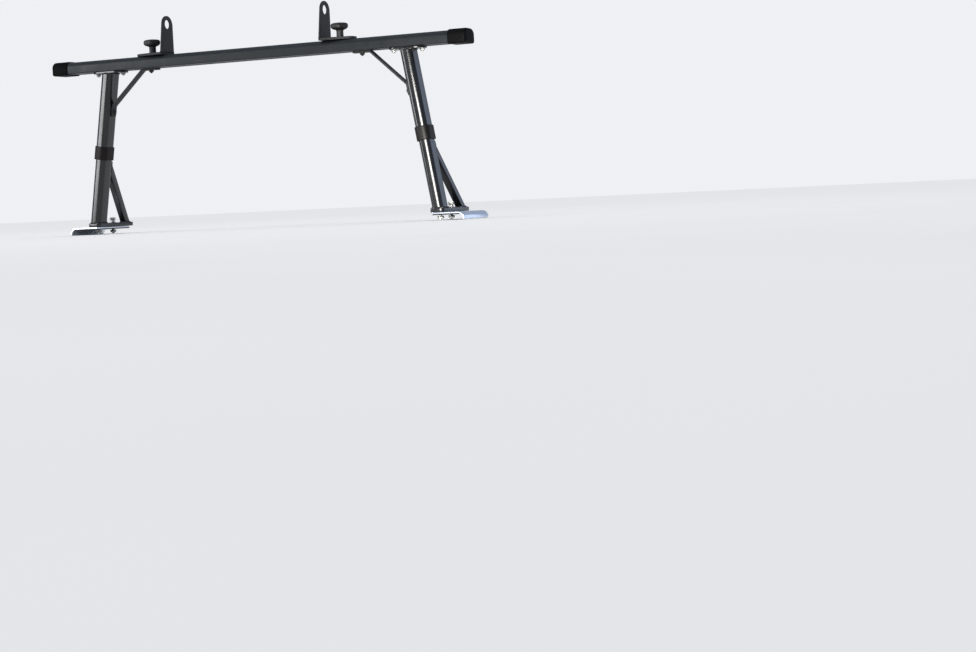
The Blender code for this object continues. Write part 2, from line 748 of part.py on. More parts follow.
def strap_path(side):
    """Middle line of the strap in X and Z: tab under the bar, slope, tab down the post."""
    inward = -side
    half = STRAP_THICK / 2
    top_z = BAR_Z - GAP - half
    bend_x = side * LEG_TOP_X + inward * STRAP_REACH
    face = POST_WIDTH / 2 + GAP + half
    low_z = BAR_Z - STRAP_DROP

    def post_face_x(z):
        rise = (z - FOOT_TOP_Z) * tan(LEG_LEAN)
        return side * (LEG_SPACING / 2 - rise) + inward * face / cos(LEG_LEAN)
    end_z = low_z - STRAP_LOWER_TAB * cos(LEG_LEAN)
    return [(bend_x + inward * STRAP_TAB, top_z), (bend_x, top_z),
            (post_face_x(low_z), low_z), (post_face_x(end_z), end_z)]


def strip_outline(path, thickness):
    """Outline of a bent strip of even thickness round its middle line."""
    offsets = []
    for index, point in enumerate(path):
        here = Vector(point)
        before = here - Vector(path[index - 1]) if index > 0 else None
        after = Vector(path[index + 1]) - here if index < len(path) - 1 else None
        first = (before or after).normalized()
        second = (after or before).normalized()
        normal = (Vector((-first.y, first.x)) + Vector((-second.y, second.x))).normalized()
        spread = normal.dot(Vector((-first.y, first.x)))
        offsets.append((here, normal * thickness / 2 / spread))
    one = [tuple(here + step) for here, step in offsets]
    other = [tuple(here - step) for here, step in reversed(offsets)]
    return one + other


def strap_bolt_x(side):
    path = strap_path(side)
    return (path[0][0] + path[1][0]) / 2


def strap_screw_frame(side):
    """Axes of the screw in the lower tab: Z out of the post, at the tab's middle."""
    path = strap_path(side)
    x = (path[2][0] + path[3][0]) / 2
    z = (path[2][1] + path[3][1]) / 2 - STRAP_SCREW_LOW
    tilt = Matrix.Rotation(-side * LEG_LEAN, 4, "Y") @ Matrix.Rotation(-side * pi / 2, 4, "Y")
    return Matrix.Translation((x, LEG_Y, z)) @ tilt


def strap_screw_hole_mesh(side):
    """Hole through the inboard wall of the post for the strap's screw, in the leg's axes."""
    mesh = mesh_from(lambda bm: add_prism(bm, M6 + GAP, -2 * STRAP_THICK, 2 * STRAP_THICK))
    return placed(mesh, leg_frame(side).inverted() @ strap_screw_frame(side))


def make_upper_strap(side, slide):
    """Flat strap that stays the post to the bar, a tab at each end."""
    outline = strip_outline(strap_path(side), STRAP_THICK)
    mesh = outline_mesh([outline], STRAP_WIDTH)
    placed(mesh, Matrix.Rotation(pi / 2, 4, "X"))
    strap = add_part("upper_strap_" + SIDE_NAMES[side], mesh, STOP_PAINT, (0, LEG_Y, 0),
                     parent=slide)
    drill = mesh_from(lambda bm: add_prism(bm, M8 + HOLE_PLAY, BAR_Z - 3 * STRAP_THICK, BAR_TOP_Z,
                                           center=(strap_bolt_x(side), 0)))
    boolean(strap, drill)
    hole = mesh_from(lambda bm: add_prism(bm, M6 + HOLE_PLAY, -2 * STRAP_THICK, 2 * STRAP_THICK))
    boolean(strap, placed(hole, at(0, -LEG_Y, 0) @ strap_screw_frame(side)))


def make_strap_screw(side, slide):
    """Short screw through the lower tab, threaded into the wall of the post."""
    seat = STRAP_THICK / 2 + GAP
    tip = -(STRAP_THICK / 2 + GAP + POST_WALL)

    def build(bm):
        flange_top = seat + FLANGE_M6_THICK
        add_prism(bm, FLANGE_M6_RADIUS, seat, flange_top)
        add_prism(bm, hex_radius(HEAD_M6_FLATS), flange_top - GAP, flange_top + HEAD_M6_HEIGHT, 6)
        add_prism(bm, M6, tip, seat + FLANGE_M6_THICK / 2)
    frame = strap_screw_frame(side)
    turn = Matrix.Translation(-frame.translation) @ frame
    add_part("strap_screw_" + SIDE_NAMES[side], placed(solid_union(build), turn), STOP_PAINT,
             frame.translation, parent=slide)


# ---------------------------------------------------------------- load stops

def stop_plate_outline():
    """Upright plate seen along X: wide at its foot, with a full round top that leans forward."""
    half = STOP_BASE_WIDTH / 2
    center_z = STOP_HEIGHT - STOP_TOP_RADIUS
    top = arc(STOP_TOP_AHEAD, center_z, STOP_TOP_RADIUS, STOP_TOP_RADIUS, 0, 173, 16)
    return [(-half, STOP_BASE_THICK), (-half, 0), (half, 0), (half, STOP_BASE_THICK)] + top


def stop_base_outline(side):
    """Base plate in plan, narrowing outboard to a round tip."""
    half = STOP_BASE_WIDTH / 2
    tip_x = STOP_BASE_LENGTH - STOP_BASE_TIP
    right = [(half, 0), (half, STOP_BASE_STRAIGHT)]
    right += [(x, y) for y, x in arc(tip_x, 0.006, STOP_BASE_TIP, STOP_BASE_TIP, 80, 0, 6)]
    loop = mirrored(right)
    return [(side * y, x) for x, y in loop]


def make_load_stop(side, x, marker):
    """Upright plate and base plate welded into one stop, with an eye for a tie-down."""
    plate = outline_mesh([stop_plate_outline(),
                          circle(STOP_TOP_AHEAD, STOP_HEIGHT - EYE_DROP, EYE_RADIUS)],
                         STOP_PLATE_THICK)
    placed(plate, ALONG_X)
    stop = add_part("load_stop_" + SIDE_NAMES[side], plate, STOP_PAINT,
                    (x, LEG_Y, BAR_TOP_Z + GAP), parent=marker)
    base = outline_mesh([stop_base_outline(side)], STOP_BASE_THICK)
    boolean(stop, placed(base, at(0, 0, STOP_BASE_THICK / 2)), "UNION")
    hole = mesh_from(lambda bm: add_prism(bm, M8 + HOLE_PLAY, -STOP_BASE_THICK,
                                          2 * STOP_BASE_THICK, center=(side * KNOB_OFFSET, 0)))
    boolean(stop, hole)


def make_stop_hardware(side, x, marker):
    """Slot bolt and washer of a load stop."""
    end = "_" + SIDE_NAMES[side]
    bolt_x = x + side * KNOB_OFFSET
    head_z = BAR_TOP_Z - SLOT_LIP - GAP
    washer_z = BAR_TOP_Z + GAP + STOP_BASE_THICK + GAP
    top_z = washer_z + WASHER_THICK + GAP + INSERT_LENGTH + STOP_BOLT_SPARE
    bolt = t_bolt_mesh(top_z - head_z)
    upright = placed(bolt, Matrix.Rotation(pi, 4, "X"))
    add_part("stop_t_bolt" + end, upright, ZINC, (bolt_x, LEG_Y, head_z), parent=marker)
    washer = ring_mesh(STOP_WASHER_RADIUS, M8 + HOLE_PLAY, WASHER_THICK)
    add_part("stop_washer" + end, washer, ZINC, (bolt_x, LEG_Y, washer_z), parent=marker)


def knob_radius(angle):
    """Lobed outline: a cosine wave on the circle, one crest for each lobe."""
    return KNOB_RADIUS - KNOB_LOBE_DEPTH * (1 - cos(KNOB_LOBES * angle)) / 2


def knob_outline(steps=50):
    points = []
    for step in range(steps):
        angle = 2 * pi * step / steps
        radius = knob_radius(angle)
        points.append((radius * cos(angle), radius * sin(angle)))
    return points


def make_knob(side, marker):
    """Lobed plastic hand knob with its hub below; its origin is on the turning axis."""
    head = outline_mesh([knob_outline()], KNOB_HEAD_HEIGHT)
    middle = KNOB_HUB_HEIGHT + KNOB_HEAD_HEIGHT / 2
    placed(head, at(0, 0, middle))
    place = world_place(marker)
    knob = add_part("knob_" + SIDE_NAMES[side], head, KNOB_PLASTIC, place, parent=marker)
    bevel(knob, 0.003, 2, 60)
    hub_top = KNOB_HUB_HEIGHT + KNOB_HEAD_HEIGHT / 4
    hub = mesh_from(lambda bm: add_prism(bm, KNOB_HUB_RADIUS, 0, hub_top, 32))
    boolean(knob, hub, "UNION")
    well = mesh_from(lambda bm: add_prism(bm, INSERT_RADIUS + GAP, -INSERT_LENGTH,
                                          INSERT_LENGTH + GAP))
    boolean(knob, well)
    tail = mesh_from(lambda bm: add_prism(bm, M8 + HOLE_PLAY, 0,
                                          INSERT_LENGTH + 2 * STOP_BOLT_SPARE))
    boolean(knob, tail)
    insert = ring_mesh(INSERT_RADIUS, M8 + GAP, INSERT_LENGTH)
    add_part("knob_insert_" + SIDE_NAMES[side], insert, BRASS, place, parent=marker)


# ---------------------------------------------------------------- assembly

def main():
    for side in (LEFT, RIGHT):
        make_rail_bracket(side)
        make_rail_gasket(side)
        make_foot_plate(side)
        make_lower_post(side)
        make_lower_brace(side)
        make_foot_fasteners(side)

    for side in (LEFT, RIGHT):
        end = "_" + SIDE_NAMES[side]
        slide = empty("upper_leg_axis" + end, leg_frame(side).translation)
        make_upper_post(side, slide)
        make_collar(side, slide)
        make_lock_screw(side, slide)
        make_top_plate(side, slide)
        for place, offset in (("outer", TOP_BOLT_OFFSET), ("inner", -TOP_BOLT_OFFSET)):
            bolt_x = side * (LEG_TOP_X + offset)
            make_slot_bolt(place + "_plate", side, bolt_x, TOP_PLATE_THICK, slide, ZINC)
        make_upper_strap(side, slide)
        make_strap_screw(side, slide)
        make_slot_bolt("strap", side, strap_bolt_x(side), STRAP_THICK, slide, STOP_PAINT)

    lift = empty("crossbar_axis", (0, LEG_Y, BAR_Z))
    make_crossbar(lift)
    for side, x in ((LEFT, STOP_LEFT_X), (RIGHT, STOP_RIGHT_X)):
        end = "_" + SIDE_NAMES[side]
        make_end_cap(side, lift)
        stop_marker = empty("stop_axis" + end, (x, LEG_Y, BAR_TOP_Z + GAP), lift)
        make_load_stop(side, x, stop_marker)
        make_stop_hardware(side, x, stop_marker)
        hub_z = BAR_TOP_Z + STOP_BASE_THICK + WASHER_THICK + 3 * GAP
        turn = empty("knob_axis" + end, (x + side * KNOB_OFFSET, LEG_Y, hub_z), stop_marker)
        make_knob(side, turn)


main()
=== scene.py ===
from math import cos, pi, radians, sin, tan

import bpy
import numpy as np
from mathutils import Matrix, Vector


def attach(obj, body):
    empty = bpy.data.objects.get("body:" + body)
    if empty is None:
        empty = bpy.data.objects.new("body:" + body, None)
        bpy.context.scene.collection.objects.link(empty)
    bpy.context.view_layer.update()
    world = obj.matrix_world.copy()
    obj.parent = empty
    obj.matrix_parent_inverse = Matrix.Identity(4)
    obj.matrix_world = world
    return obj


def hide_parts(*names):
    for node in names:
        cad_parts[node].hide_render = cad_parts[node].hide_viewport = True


# Ladder rack: metres, +X to the right along the crossbar, +Y towards the cab, +Z up.
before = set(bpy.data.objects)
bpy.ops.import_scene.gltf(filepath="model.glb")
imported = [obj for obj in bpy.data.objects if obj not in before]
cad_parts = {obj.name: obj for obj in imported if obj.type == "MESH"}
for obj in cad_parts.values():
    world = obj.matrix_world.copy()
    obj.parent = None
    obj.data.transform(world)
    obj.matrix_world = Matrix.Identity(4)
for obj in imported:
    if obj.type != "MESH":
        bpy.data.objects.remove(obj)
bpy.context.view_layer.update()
scene = bpy.context.scene
SIDES = ((-1, "left"), (1, "right"))

# ------------------------------------------------------------------ studio
# A pale floor under an even, slightly cool sky, which glossy faces see dimmer and bluer. Three
# panels that show only as reflections edge the legs and the right bracket with light, and a broad
# light overhead gives the soft shadow on the floor.

CAMERA_PLACE = Vector((3.195, -5.522, 0.060))
CAMERA_YAW, CAMERA_PITCH, CAMERA_ROLL = np.radians((23.797, 3.809, -2.670))
CAMERA_LENS, CAMERA_SENSOR = 70.37, 36
SKY_HEX, SKY_STRENGTH = "#f4f6f9", 0.95
SHEEN_HEX, SHEEN_STRENGTH = "#cddcf3", 0.62
FLOOR_HEXES, FLOOR_SIZE = ("#f0f0f1", "#f5f5f6"), 80.0


def linear(code):
    """RGBA for a shader from an sRGB hex colour: each channel through the sRGB curve."""
    channels = np.array([int(code[i:i + 2], 16) for i in (1, 3, 5)]) / 255
    low, high = channels / 12.92, ((channels + 0.055) / 1.055) ** 2.4
    return (*np.where(channels <= 0.04045, low, high).tolist(), 1.0)


def set_inputs(material, node, inputs):
    """Each named input takes a value, or a link from a socket or from a node's first output."""
    for name, value in inputs.items():
        if isinstance(value, bpy.types.Node):
            value = next(output for output in value.outputs if output.enabled)
        if isinstance(value, bpy.types.NodeSocket):
            material.node_tree.links.new(value, node.inputs[name])
        else:
            node.inputs[name].default_value = value


def add_node(material, kind, inputs=None, **settings):
    """A shader node with its settings and what its inputs hold."""
    node = material.node_tree.nodes.new("ShaderNode" + kind)
    for name, value in settings.items():
        setattr(node, name, value)
    set_inputs(material, node, inputs or {})
    return node


def new_finish(name, **constant):
    """A material, its shader with the values that don't vary, and the place on the object."""
    material = bpy.data.materials.new(name)
    material.use_nodes = True
    shader = material.node_tree.nodes["Principled BSDF"]
    set_inputs(material, shader, {key.replace("_", " "): constant[key] for key in constant})
    return material, shader, add_node(material, "TexCoord").outputs["Object"]


def add_camera():
    """A camera turned by yaw about +Z, then pitched down, then rolled about its own view."""
    forward = Vector((-sin(CAMERA_YAW) * cos(CAMERA_PITCH), cos(CAMERA_YAW) * cos(CAMERA_PITCH),
                      -sin(CAMERA_PITCH)))
    right = Vector((cos(CAMERA_YAW), sin(CAMERA_YAW), 0))
    up = right.cross(forward)
    right, up = (right * cos(CAMERA_ROLL) + up * sin(CAMERA_ROLL),
                 up * cos(CAMERA_ROLL) - right * sin(CAMERA_ROLL))
    data = bpy.data.cameras.new("camera")
    data.lens, data.sensor_width = CAMERA_LENS, CAMERA_SENSOR
    data.clip_start, data.clip_end = 0.1, 200
    camera = bpy.data.objects.new("camera", data)
    camera.matrix_world = Matrix((right, up, -forward)).transposed().to_4x4()
    camera.location = CAMERA_PLACE
    scene.collection.objects.link(camera)
    scene.camera = camera


def add_light(name, place, target, width, height, watts, hex_color, spread=180,
              sheen_only=True):
    """A rectangular soft light that faces its target and isn't seen itself.

    A sheen light is only reflected in glossy faces, so it leaves no pool on the floor.
    """
    data = bpy.data.lights.new(name, "AREA")
    data.shape, data.size, data.size_y = "RECTANGLE", width, height
    data.energy, data.color, data.spread = watts, linear(hex_color)[:3], radians(spread)
    light = bpy.data.objects.new(name, data)
    light.location = place
    light.rotation_euler = (Vector(target) - Vector(place)).to_track_quat("-Z", "Y").to_euler()
    light.visible_camera, light.visible_diffuse = False, not sheen_only
    scene.collection.objects.link(light)


def add_floor():
    """One flat square of floor at Z = 0, in a pale matt paint with a faint mottle."""
    material, shader, place = new_finish("studio_floor_paint", Roughness=0.9,
                                         Specular_IOR_Level=0.0)
    cloud = add_node(material, "TexNoise", {"Vector": place, "Scale": 1.3, "Detail": 3.0})
    tone = add_node(material, "Mix", {"Factor": cloud, "A": linear(FLOOR_HEXES[0]),
                                      "B": linear(FLOOR_HEXES[1])}, data_type="RGBA")
    set_inputs(material, shader, {"Base Color": tone})
    half = FLOOR_SIZE / 2
    mesh = bpy.data.meshes.new("studio_floor")
    mesh.from_pydata([(-half, -half, 0), (half, -half, 0), (half, half, 0), (-half, half, 0)],
                     [], [(0, 1, 2, 3)])
    mesh.materials.append(material)
    floor = bpy.data.objects.new("studio_floor", mesh)
    scene.collection.objects.link(floor)


scene.view_settings.view_transform = "Standard"
sky = bpy.data.worlds.new("studio_sky")
sky.use_nodes = True
ray = add_node(sky, "LightPath").outputs["Is Glossy Ray"]
tone = add_node(sky, "Mix", {"Factor": ray, "A": linear(SKY_HEX), "B": linear(SHEEN_HEX)},
                data_type="RGBA")
power = add_node(sky, "MapRange", {"Value": ray, "To Min": SKY_STRENGTH,
                                   "To Max": SHEEN_STRENGTH})
set_inputs(sky, sky.node_tree.nodes["Background"], {"Color": tone, "Strength": power})
scene.world = sky
add_camera()
add_floor()
# In turn: the bright line down the right post, the outer edge of the left post, the cool light
# on the right leg's outboard side, and the shadow.
add_light("near_panel", (0.82, -1.25, 0.30), (0.6, -0.07, 0.26), 0.85, 0.60, 9, "#fffdf8", 60)
add_light("left_panel", (-2.5, -2.3, 0.90), (-0.6, 0, 0.35), 1.50, 1.6, 75, "#ffffff")
add_light("right_panel", (2.15, 2.5, 0.62), (0.6, 0, 0.30), 1.20, 1.24, 4.6, "#d1e2ff")
add_light("top_light", (-0.6, -0.8, 3.6), (0, 0, 0.3), 2.6, 2.0, 12, "#ffffff",
          sheen_only=False)

# ------------------------------------------------------------------ rail brackets
# Each foot stands on a bracket of 5 mm aluminium sheet, laid on the bed rail with its outer
# edge bent down round the rail's shoulder. Cut, bent in a brake and left as it comes, with
# the fine straight lines of the rolling mill.

GAP = 0.0003
LEG_Y = -0.0685
LEG_SPACING = 1.290
BRACKET_THICK, BRACKET_TOP, BRACKET_BEND = 0.005, 0.025, 0.022
BRACKET_INBOARD, BRACKET_OUTBOARD = 0.016, 0.095
BRACKET_REAR, BRACKET_FRONT, BRACKET_CORNER = -0.033, 0.160, 0.012
BRACKET_INNER_CORNER, BRACKET_REAR_CORNER, BRACKET_EDGE = 0.004, 0.003, 0.0009


def shell(rings, ends="middle"):
    """A closed surface through rings[i, j], where each row i is a closed ring of points j.

    Four neighbours on the grid make a face. The first and last ring are closed by a fan to
    their middle ("middle"), by one flat face ("face"), or joined to each other ("join").
    The faces are turned round if the volume inside them comes out negative.
    """
    count, size = rings.shape[:2]
    index = np.arange(count * size).reshape(count, size)
    rows = np.arange(count if ends == "join" else count - 1)
    here, above = index[rows], index[(rows + 1) % count]
    quads = np.stack([here, np.roll(here, -1, 1), np.roll(above, -1, 1), above], -1)
    quads = quads.reshape(-1, 4)
    points = rings.reshape(-1, 3)
    groups = [quads]
    if ends == "middle":
        points = np.concatenate([points, rings[:1].mean(1), rings[-1:].mean(1)])
        first, last = index[0], index[-1]
        low = np.full(size, count * size)
        groups.append(np.stack([low, np.roll(first, -1), first], -1))
        groups.append(np.stack([low + 1, last, np.roll(last, -1)], -1))
    if ends == "face":
        groups += [index[:1, ::-1], index[-1:]]
    a, b, c, d = (points[quads[:, k]] - points.mean(0) for k in range(4))
    volume = (a * (np.cross(b, c) + np.cross(c, d))).sum()
    if volume < 0:
        groups = [group[:, ::-1] for group in groups]
    return points, groups


def add_piece(name, shells, finish, body, nodes, crease=38):
    """One object from closed surfaces. It rides on a body and stands for the CAD nodes."""
    points, faces, start = [], [], 0
    for shell_points, groups in shells:
        points.append(shell_points)
        for group in groups:
            faces += (group + start).tolist()
        start += len(shell_points)
    mesh = bpy.data.meshes.new(name)
    mesh.from_pydata(np.concatenate(points).tolist(), [], faces)
    mesh.materials.append(finish)
    mesh.shade_smooth()
    mesh.set_sharp_from_angle(angle=radians(crease))
    piece = bpy.data.objects.new(name, mesh)
    scene.collection.objects.link(piece)
    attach(piece, body)
    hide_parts(*nodes)
    return piece


def quarter(center, radius, start, end, steps):
    """Points on an arc in a plane: centre plus radius times cosine and sine, in degrees."""
    angle = np.radians(np.linspace(start, end, steps + 1))
    return np.array(center) + radius * np.stack([np.cos(angle), np.sin(angle)], 1)


def along(path, distances):
    """Points at these distances along a polyline, by linear interpolation of its length."""
    steps = np.linalg.norm(np.diff(path, axis=0), axis=1)
    length = np.concatenate([[0], np.cumsum(steps)])
    return np.stack([np.interp(distances, length, path[:, k]) for k in range(path.shape[1])], 1)


def strip(path, low, high, thickness, radius, rings=90):
    """A bent flat bar: a rounded oblong carried along a path in X and Z.

    low and high give its edges in Y as functions of distance along the path, of the whole
    length and of the path's points. Towards each end the corner radius r of the section
    follows r sin(b) while the ring stands r (1 - cos(b)) from the end, which rounds the end.
    """
    length = np.linalg.norm(np.diff(path, axis=0), axis=1).sum()
    ease = np.radians(np.linspace(14, 90, 5))
    ends = radius * (1 - np.cos(ease))
    distances = np.concatenate([ends, np.linspace(radius, length - radius, rings)[1:-1],
                                (length - ends)[::-1]])
    round_off = np.concatenate([np.sin(ease), np.ones(rings - 2), np.sin(ease)[::-1]])
    middle = along(path, distances)
    step = 0.0004
    heading = along(path, distances + step) - along(path, distances - step)
    heading /= np.linalg.norm(heading, axis=1, keepdims=True)
    normal = np.stack([-heading[:, 1], heading[:, 0]], 1)
    low, high = low(distances, length, middle), high(distances, length, middle)
    turn = np.radians(np.concatenate([np.linspace(a, a + 90, 5) for a in (0, 90, 180, 270)]))
    sign_y = np.repeat([1, -1, -1, 1], 5)
    sign_n = np.repeat([1, 1, -1, -1], 5)
    corner = radius * round_off[:, None]
    y = np.where(sign_y > 0, high[:, None] - radius, low[:, None] + radius)
    y = y + corner * np.cos(turn)
    n = sign_n * (thickness / 2 - radius) + corner * np.sin(turn)
    x = middle[:, :1] + normal[:, :1] * n
    z = middle[:, 1:] + normal[:, 1:] * n
    return shell(np.stack([x, y, z], -1))


# Mill-finish aluminium, rolled and unpainted: bright and cool, with a soft line along the roll
# and a faint grain across the reflection.
MILL_ALUMINIUM, shader, place = new_finish("mill_aluminium", Metallic=1.0)
rolled = add_node(MILL_ALUMINIUM, "Mapping", {"Vector": place, "Scale": (900, 12, 900)})
lines = add_node(MILL_ALUMINIUM, "TexNoise", {"Vector": rolled, "Scale": 1.0,
                                              "Detail": 3.0})
stain = add_node(MILL_ALUMINIUM, "TexNoise", {"Vector": place, "Scale": 55.0, "Detail": 4.0})
tone = add_node(MILL_ALUMINIUM, "Mix", {"Factor": stain, "A": linear("#c3cad6"),
                                        "B": linear("#e9ecf2")}, data_type="RGBA")
gloss = add_node(MILL_ALUMINIUM, "MapRange", {"Value": lines, "From Min": 0.3,
                                              "From Max": 0.7, "To Min": 0.16, "To Max": 0.34})
relief = add_node(MILL_ALUMINIUM, "Bump", {"Height": lines, "Strength": 0.25,
                                           "Distance": 0.00006})
set_inputs(MILL_ALUMINIUM, shader, {"Base Color": tone, "Roughness": gloss, "Normal": relief})

for side, word in SIDES:
    bend = (BRACKET_OUTBOARD - BRACKET_BEND, BRACKET_TOP - BRACKET_BEND)
    middle = BRACKET_BEND - BRACKET_THICK / 2
    path = np.concatenate([[(-BRACKET_INBOARD, BRACKET_TOP - BRACKET_THICK / 2)],
                           quarter(bend, middle, 90, 0, 24), [(bend[0] + middle, 0)]])
    path[:, 0] = side * (path[:, 0] + LEG_SPACING / 2)

    def front_edge(distance, length, points):
        drop = np.clip(BRACKET_CORNER - points[:, 1], 0, BRACKET_CORNER)
        cut = BRACKET_CORNER - np.sqrt(BRACKET_CORNER ** 2 - drop ** 2)
        corner = BRACKET_INNER_CORNER
        lead = np.clip(corner - distance, 0, corner)
        return LEG_Y + BRACKET_FRONT - cut - (corner - np.sqrt(corner ** 2 - lead ** 2))

    def rear_edge(distance, length, points):
        corner = BRACKET_REAR_CORNER
        near = np.clip(corner - np.minimum(distance, length - distance), 0, corner)
        return LEG_Y + BRACKET_REAR + corner - np.sqrt(corner ** 2 - near ** 2)

    add_piece("bracket_sheet_" + word,
              [strip(path, rear_edge, front_edge, BRACKET_THICK, BRACKET_EDGE)],
              MILL_ALUMINIUM, "feet", ["rail_bracket_" + word])

# ------------------------------------------------------------------ rail gaskets
# A 3 mm sheet of black rubber under each bracket keeps the aluminium off the truck's paint. Its
# black rear edge, just under the bracket's, also stands in for the shade in the gap there: partly
# a real pad, partly painted shade. Die-cut, with square edges and a matt, dusty face.

GASKET_THICK, GASKET_OUTBOARD, GASKET_CORNER, GASKET_EDGE = 0.003, 0.068, 0.004, 0.0004


def round_rect(low, high, radius, steps=8):
    """Rectangle outline with round corners: four quarter circles, anticlockwise."""
    (low_x, low_y), (high_x, high_y) = low, high
    return np.concatenate([
        quarter((high_x - radius, high_y - radius), radius, 0, 90, steps),
        quarter((low_x + radius, high_y - radius), radius, 90, 180, steps),
        quarter((low_x + radius, low_y + radius), radius, 180, 270, steps),
        quarter((high_x - radius, low_y + radius), radius, 270, 360, steps)])


def inset(outline, distance):
    """The outline moved inwards along the mean of each corner's two edge normals."""
    before = outline - np.roll(outline, 1, 0)
    after = np.roll(outline, -1, 0) - outline
    area = (outline[:, 0] * np.roll(outline[:, 1], -1)
            - np.roll(outline[:, 0], -1) * outline[:, 1]).sum()
    normals = [np.stack([-d[:, 1], d[:, 0]], 1) / np.linalg.norm(d, axis=1)[:, None]
               for d in (before, after)]
    mean = normals[0] + normals[1]
    mean /= np.linalg.norm(mean, axis=1, keepdims=True)
    spread = (mean * normals[1]).sum(1, keepdims=True)
    return outline + np.sign(area) * mean * distance / spread


def level(outline, height):
    """A flat outline as a ring of points at one height."""
    return np.column_stack([outline, np.full(len(outline), height)])


def slab(outline, low, high, radius):
    """A plate between two heights: rings follow a quarter circle round each of its edges."""
    turn = np.radians(np.linspace(12, 90, 5))
    rings = [level(inset(outline, radius * (1 - sin(a))), low + radius * (1 - cos(a)))
             for a in turn]
    rings += [level(inset(outline, radius * (1 - sin(a))), high - radius * (1 - cos(a)))
              for a in turn[::-1]]
    return shell(np.array(rings))


def moved(surface, offset):
    """The surface shifted by an offset."""
    points, groups = surface
    return points + np.array(offset), groups


def all_moved(surfaces, offset):
    """The surfaces of one piece, all shifted by the same offset."""
    return [moved(surface, offset) for surface in surfaces]


# Black EPDM rubber, die-cut from sheet: dull and slightly grey where dust sits in its grain. Its
# near-black tone is partly painted shade, for the dark gap under the bracket's rear edge.
GASKET_RUBBER_AND_SHADE, shader, place = new_finish("epdm_rubber_and_painted_shade", Roughness=0.85)
grain = add_node(GASKET_RUBBER_AND_SHADE, "TexNoise", {"Vector": place, "Scale": 700.0, "Detail": 3.0})
tone = add_node(GASKET_RUBBER_AND_SHADE, "Mix", {"Factor": grain, "A": linear("#101010"),
                                       "B": linear("#232322")}, data_type="RGBA")
relief = add_node(GASKET_RUBBER_AND_SHADE, "Bump", {"Height": grain, "Strength": 0.4,
                                          "Distance": 0.0001})
set_inputs(GASKET_RUBBER_AND_SHADE, shader, {"Base Color": tone, "Normal": relief})

GASKET_TOP = BRACKET_TOP - BRACKET_THICK - GAP
for side, word in SIDES:
    inner, outer = sorted((-side * BRACKET_INBOARD, side * GASKET_OUTBOARD))
    outline = round_rect((inner, BRACKET_REAR), (outer, BRACKET_FRONT), GASKET_CORNER)
    sheet = slab(outline, GASKET_TOP - GASKET_THICK, GASKET_TOP, GASKET_EDGE)
    # The sheet's black rear edge is partly painted shade under the bracket.
    add_piece("gasket_and_shade_sheet_" + word, [moved(sheet, (side * LEG_SPACING / 2, LEG_Y, 0))],
              GASKET_RUBBER_AND_SHADE, "feet", ["rail_gasket_" + word])

# ------------------------------------------------------------------ foot plates
# The base of each leg is a 13 mm steel plate with round corners, welded to the post and to the
# brace and bolted down through the bracket. It is powder coated with the leg after welding.

FOOT_WIDTH, FOOT_THICK, FOOT_REAR, FOOT_FRONT = 0.048, 0.013, -0.032, 0.176
FOOT_RADIUS, FOOT_EDGE = 0.012, 0.0014
FOOT_TOP = BRACKET_TOP + GAP + FOOT_THICK

# Gloss black powder coat, sprayed dry and baked: deep black with clear reflections that waver
# on a 2 mm orange peel, and a thin uneven film of road dust.
LEG_COAT, shader, place = new_finish("gloss_black_powder_coat", IOR=1.5)
peel = add_node(LEG_COAT, "TexNoise", {"Vector": place, "Scale": 420.0, "Detail": 2.0})
dust = add_node(LEG_COAT, "TexNoise", {"Vector": place, "Scale": 16.0, "Detail": 6.0,
                                       "Roughness": 0.62})
film = add_node(LEG_COAT, "MapRange", {"Value": dust, "From Min": 0.40,
                                       "From Max": 0.75, "To Min": 0.0, "To Max": 1.0})
tone = add_node(LEG_COAT, "Mix", {"Factor": film, "A": linear("#0c0d0f"),
                                  "B": linear("#1d1e20")}, data_type="RGBA")
gloss = add_node(LEG_COAT, "MapRange", {"Value": film, "From Min": 0.0,
                                        "From Max": 1.0, "To Min": 0.20, "To Max": 0.30})
relief = add_node(LEG_COAT, "Bump", {"Height": peel, "Strength": 0.12,
                                     "Distance": 0.00012})
set_inputs(LEG_COAT, shader, {"Base Color": tone, "Roughness": gloss, "Normal": relief})

for side, word in SIDES:
    outline = round_rect((-FOOT_WIDTH / 2, FOOT_REAR), (FOOT_WIDTH / 2, FOOT_FRONT), FOOT_RADIUS)
    plate = slab(outline, BRACKET_TOP + GAP, FOOT_TOP, FOOT_EDGE)
    add_piece("foot_" + word, [moved(plate, (side * LEG_SPACING / 2, LEG_Y, 0))], LEG_COAT,
              "feet", ["foot_plate_" + word])

# ------------------------------------------------------------------ lower posts
# The fixed half of each leg is an oval steel tube that leans inwards by 9.5 degrees. It is cut
# at that angle, stood on the foot plate and MIG welded all round.

LEAN = radians(9.5)
POST_WIDTH, POST_DEPTH, POST_RADIUS, POST_WALL = 0.042, 0.062, 0.017, 0.0015
LOWER_SHRINK = POST_WALL + GAP
LOWER_LENGTH = 0.480
WELD_SIZE, WELD_RIPPLE = 0.0030, 0.0022


def leg_axes(side):
    """Origin on the foot plate and the leg's own across, forward and upward directions."""
    origin = np.array([side * LEG_SPACING / 2, LEG_Y, FOOT_TOP])
    across = np.array([cos(LEAN), 0, side * sin(LEAN)])
    forward = np.array([0.0, 1.0, 0.0])
    up = np.array([-side * sin(LEAN), 0, cos(LEAN)])
    return origin, np.stack([across, forward, up])


def in_leg(side, points):
    """Points given across, forward and up the leg, as points of the whole rack."""
    origin, axes = leg_axes(side)
    return origin + np.asarray(points) @ axes


def height_in_leg(side, outline, height):
    """The outline as a ring where the leg is cut by a level plane at this height."""
    origin, axes = leg_axes(side)
    travel = (height - origin[2] - outline[:, 0] * axes[0, 2]) / axes[2, 2]
    return np.column_stack([outline, travel])


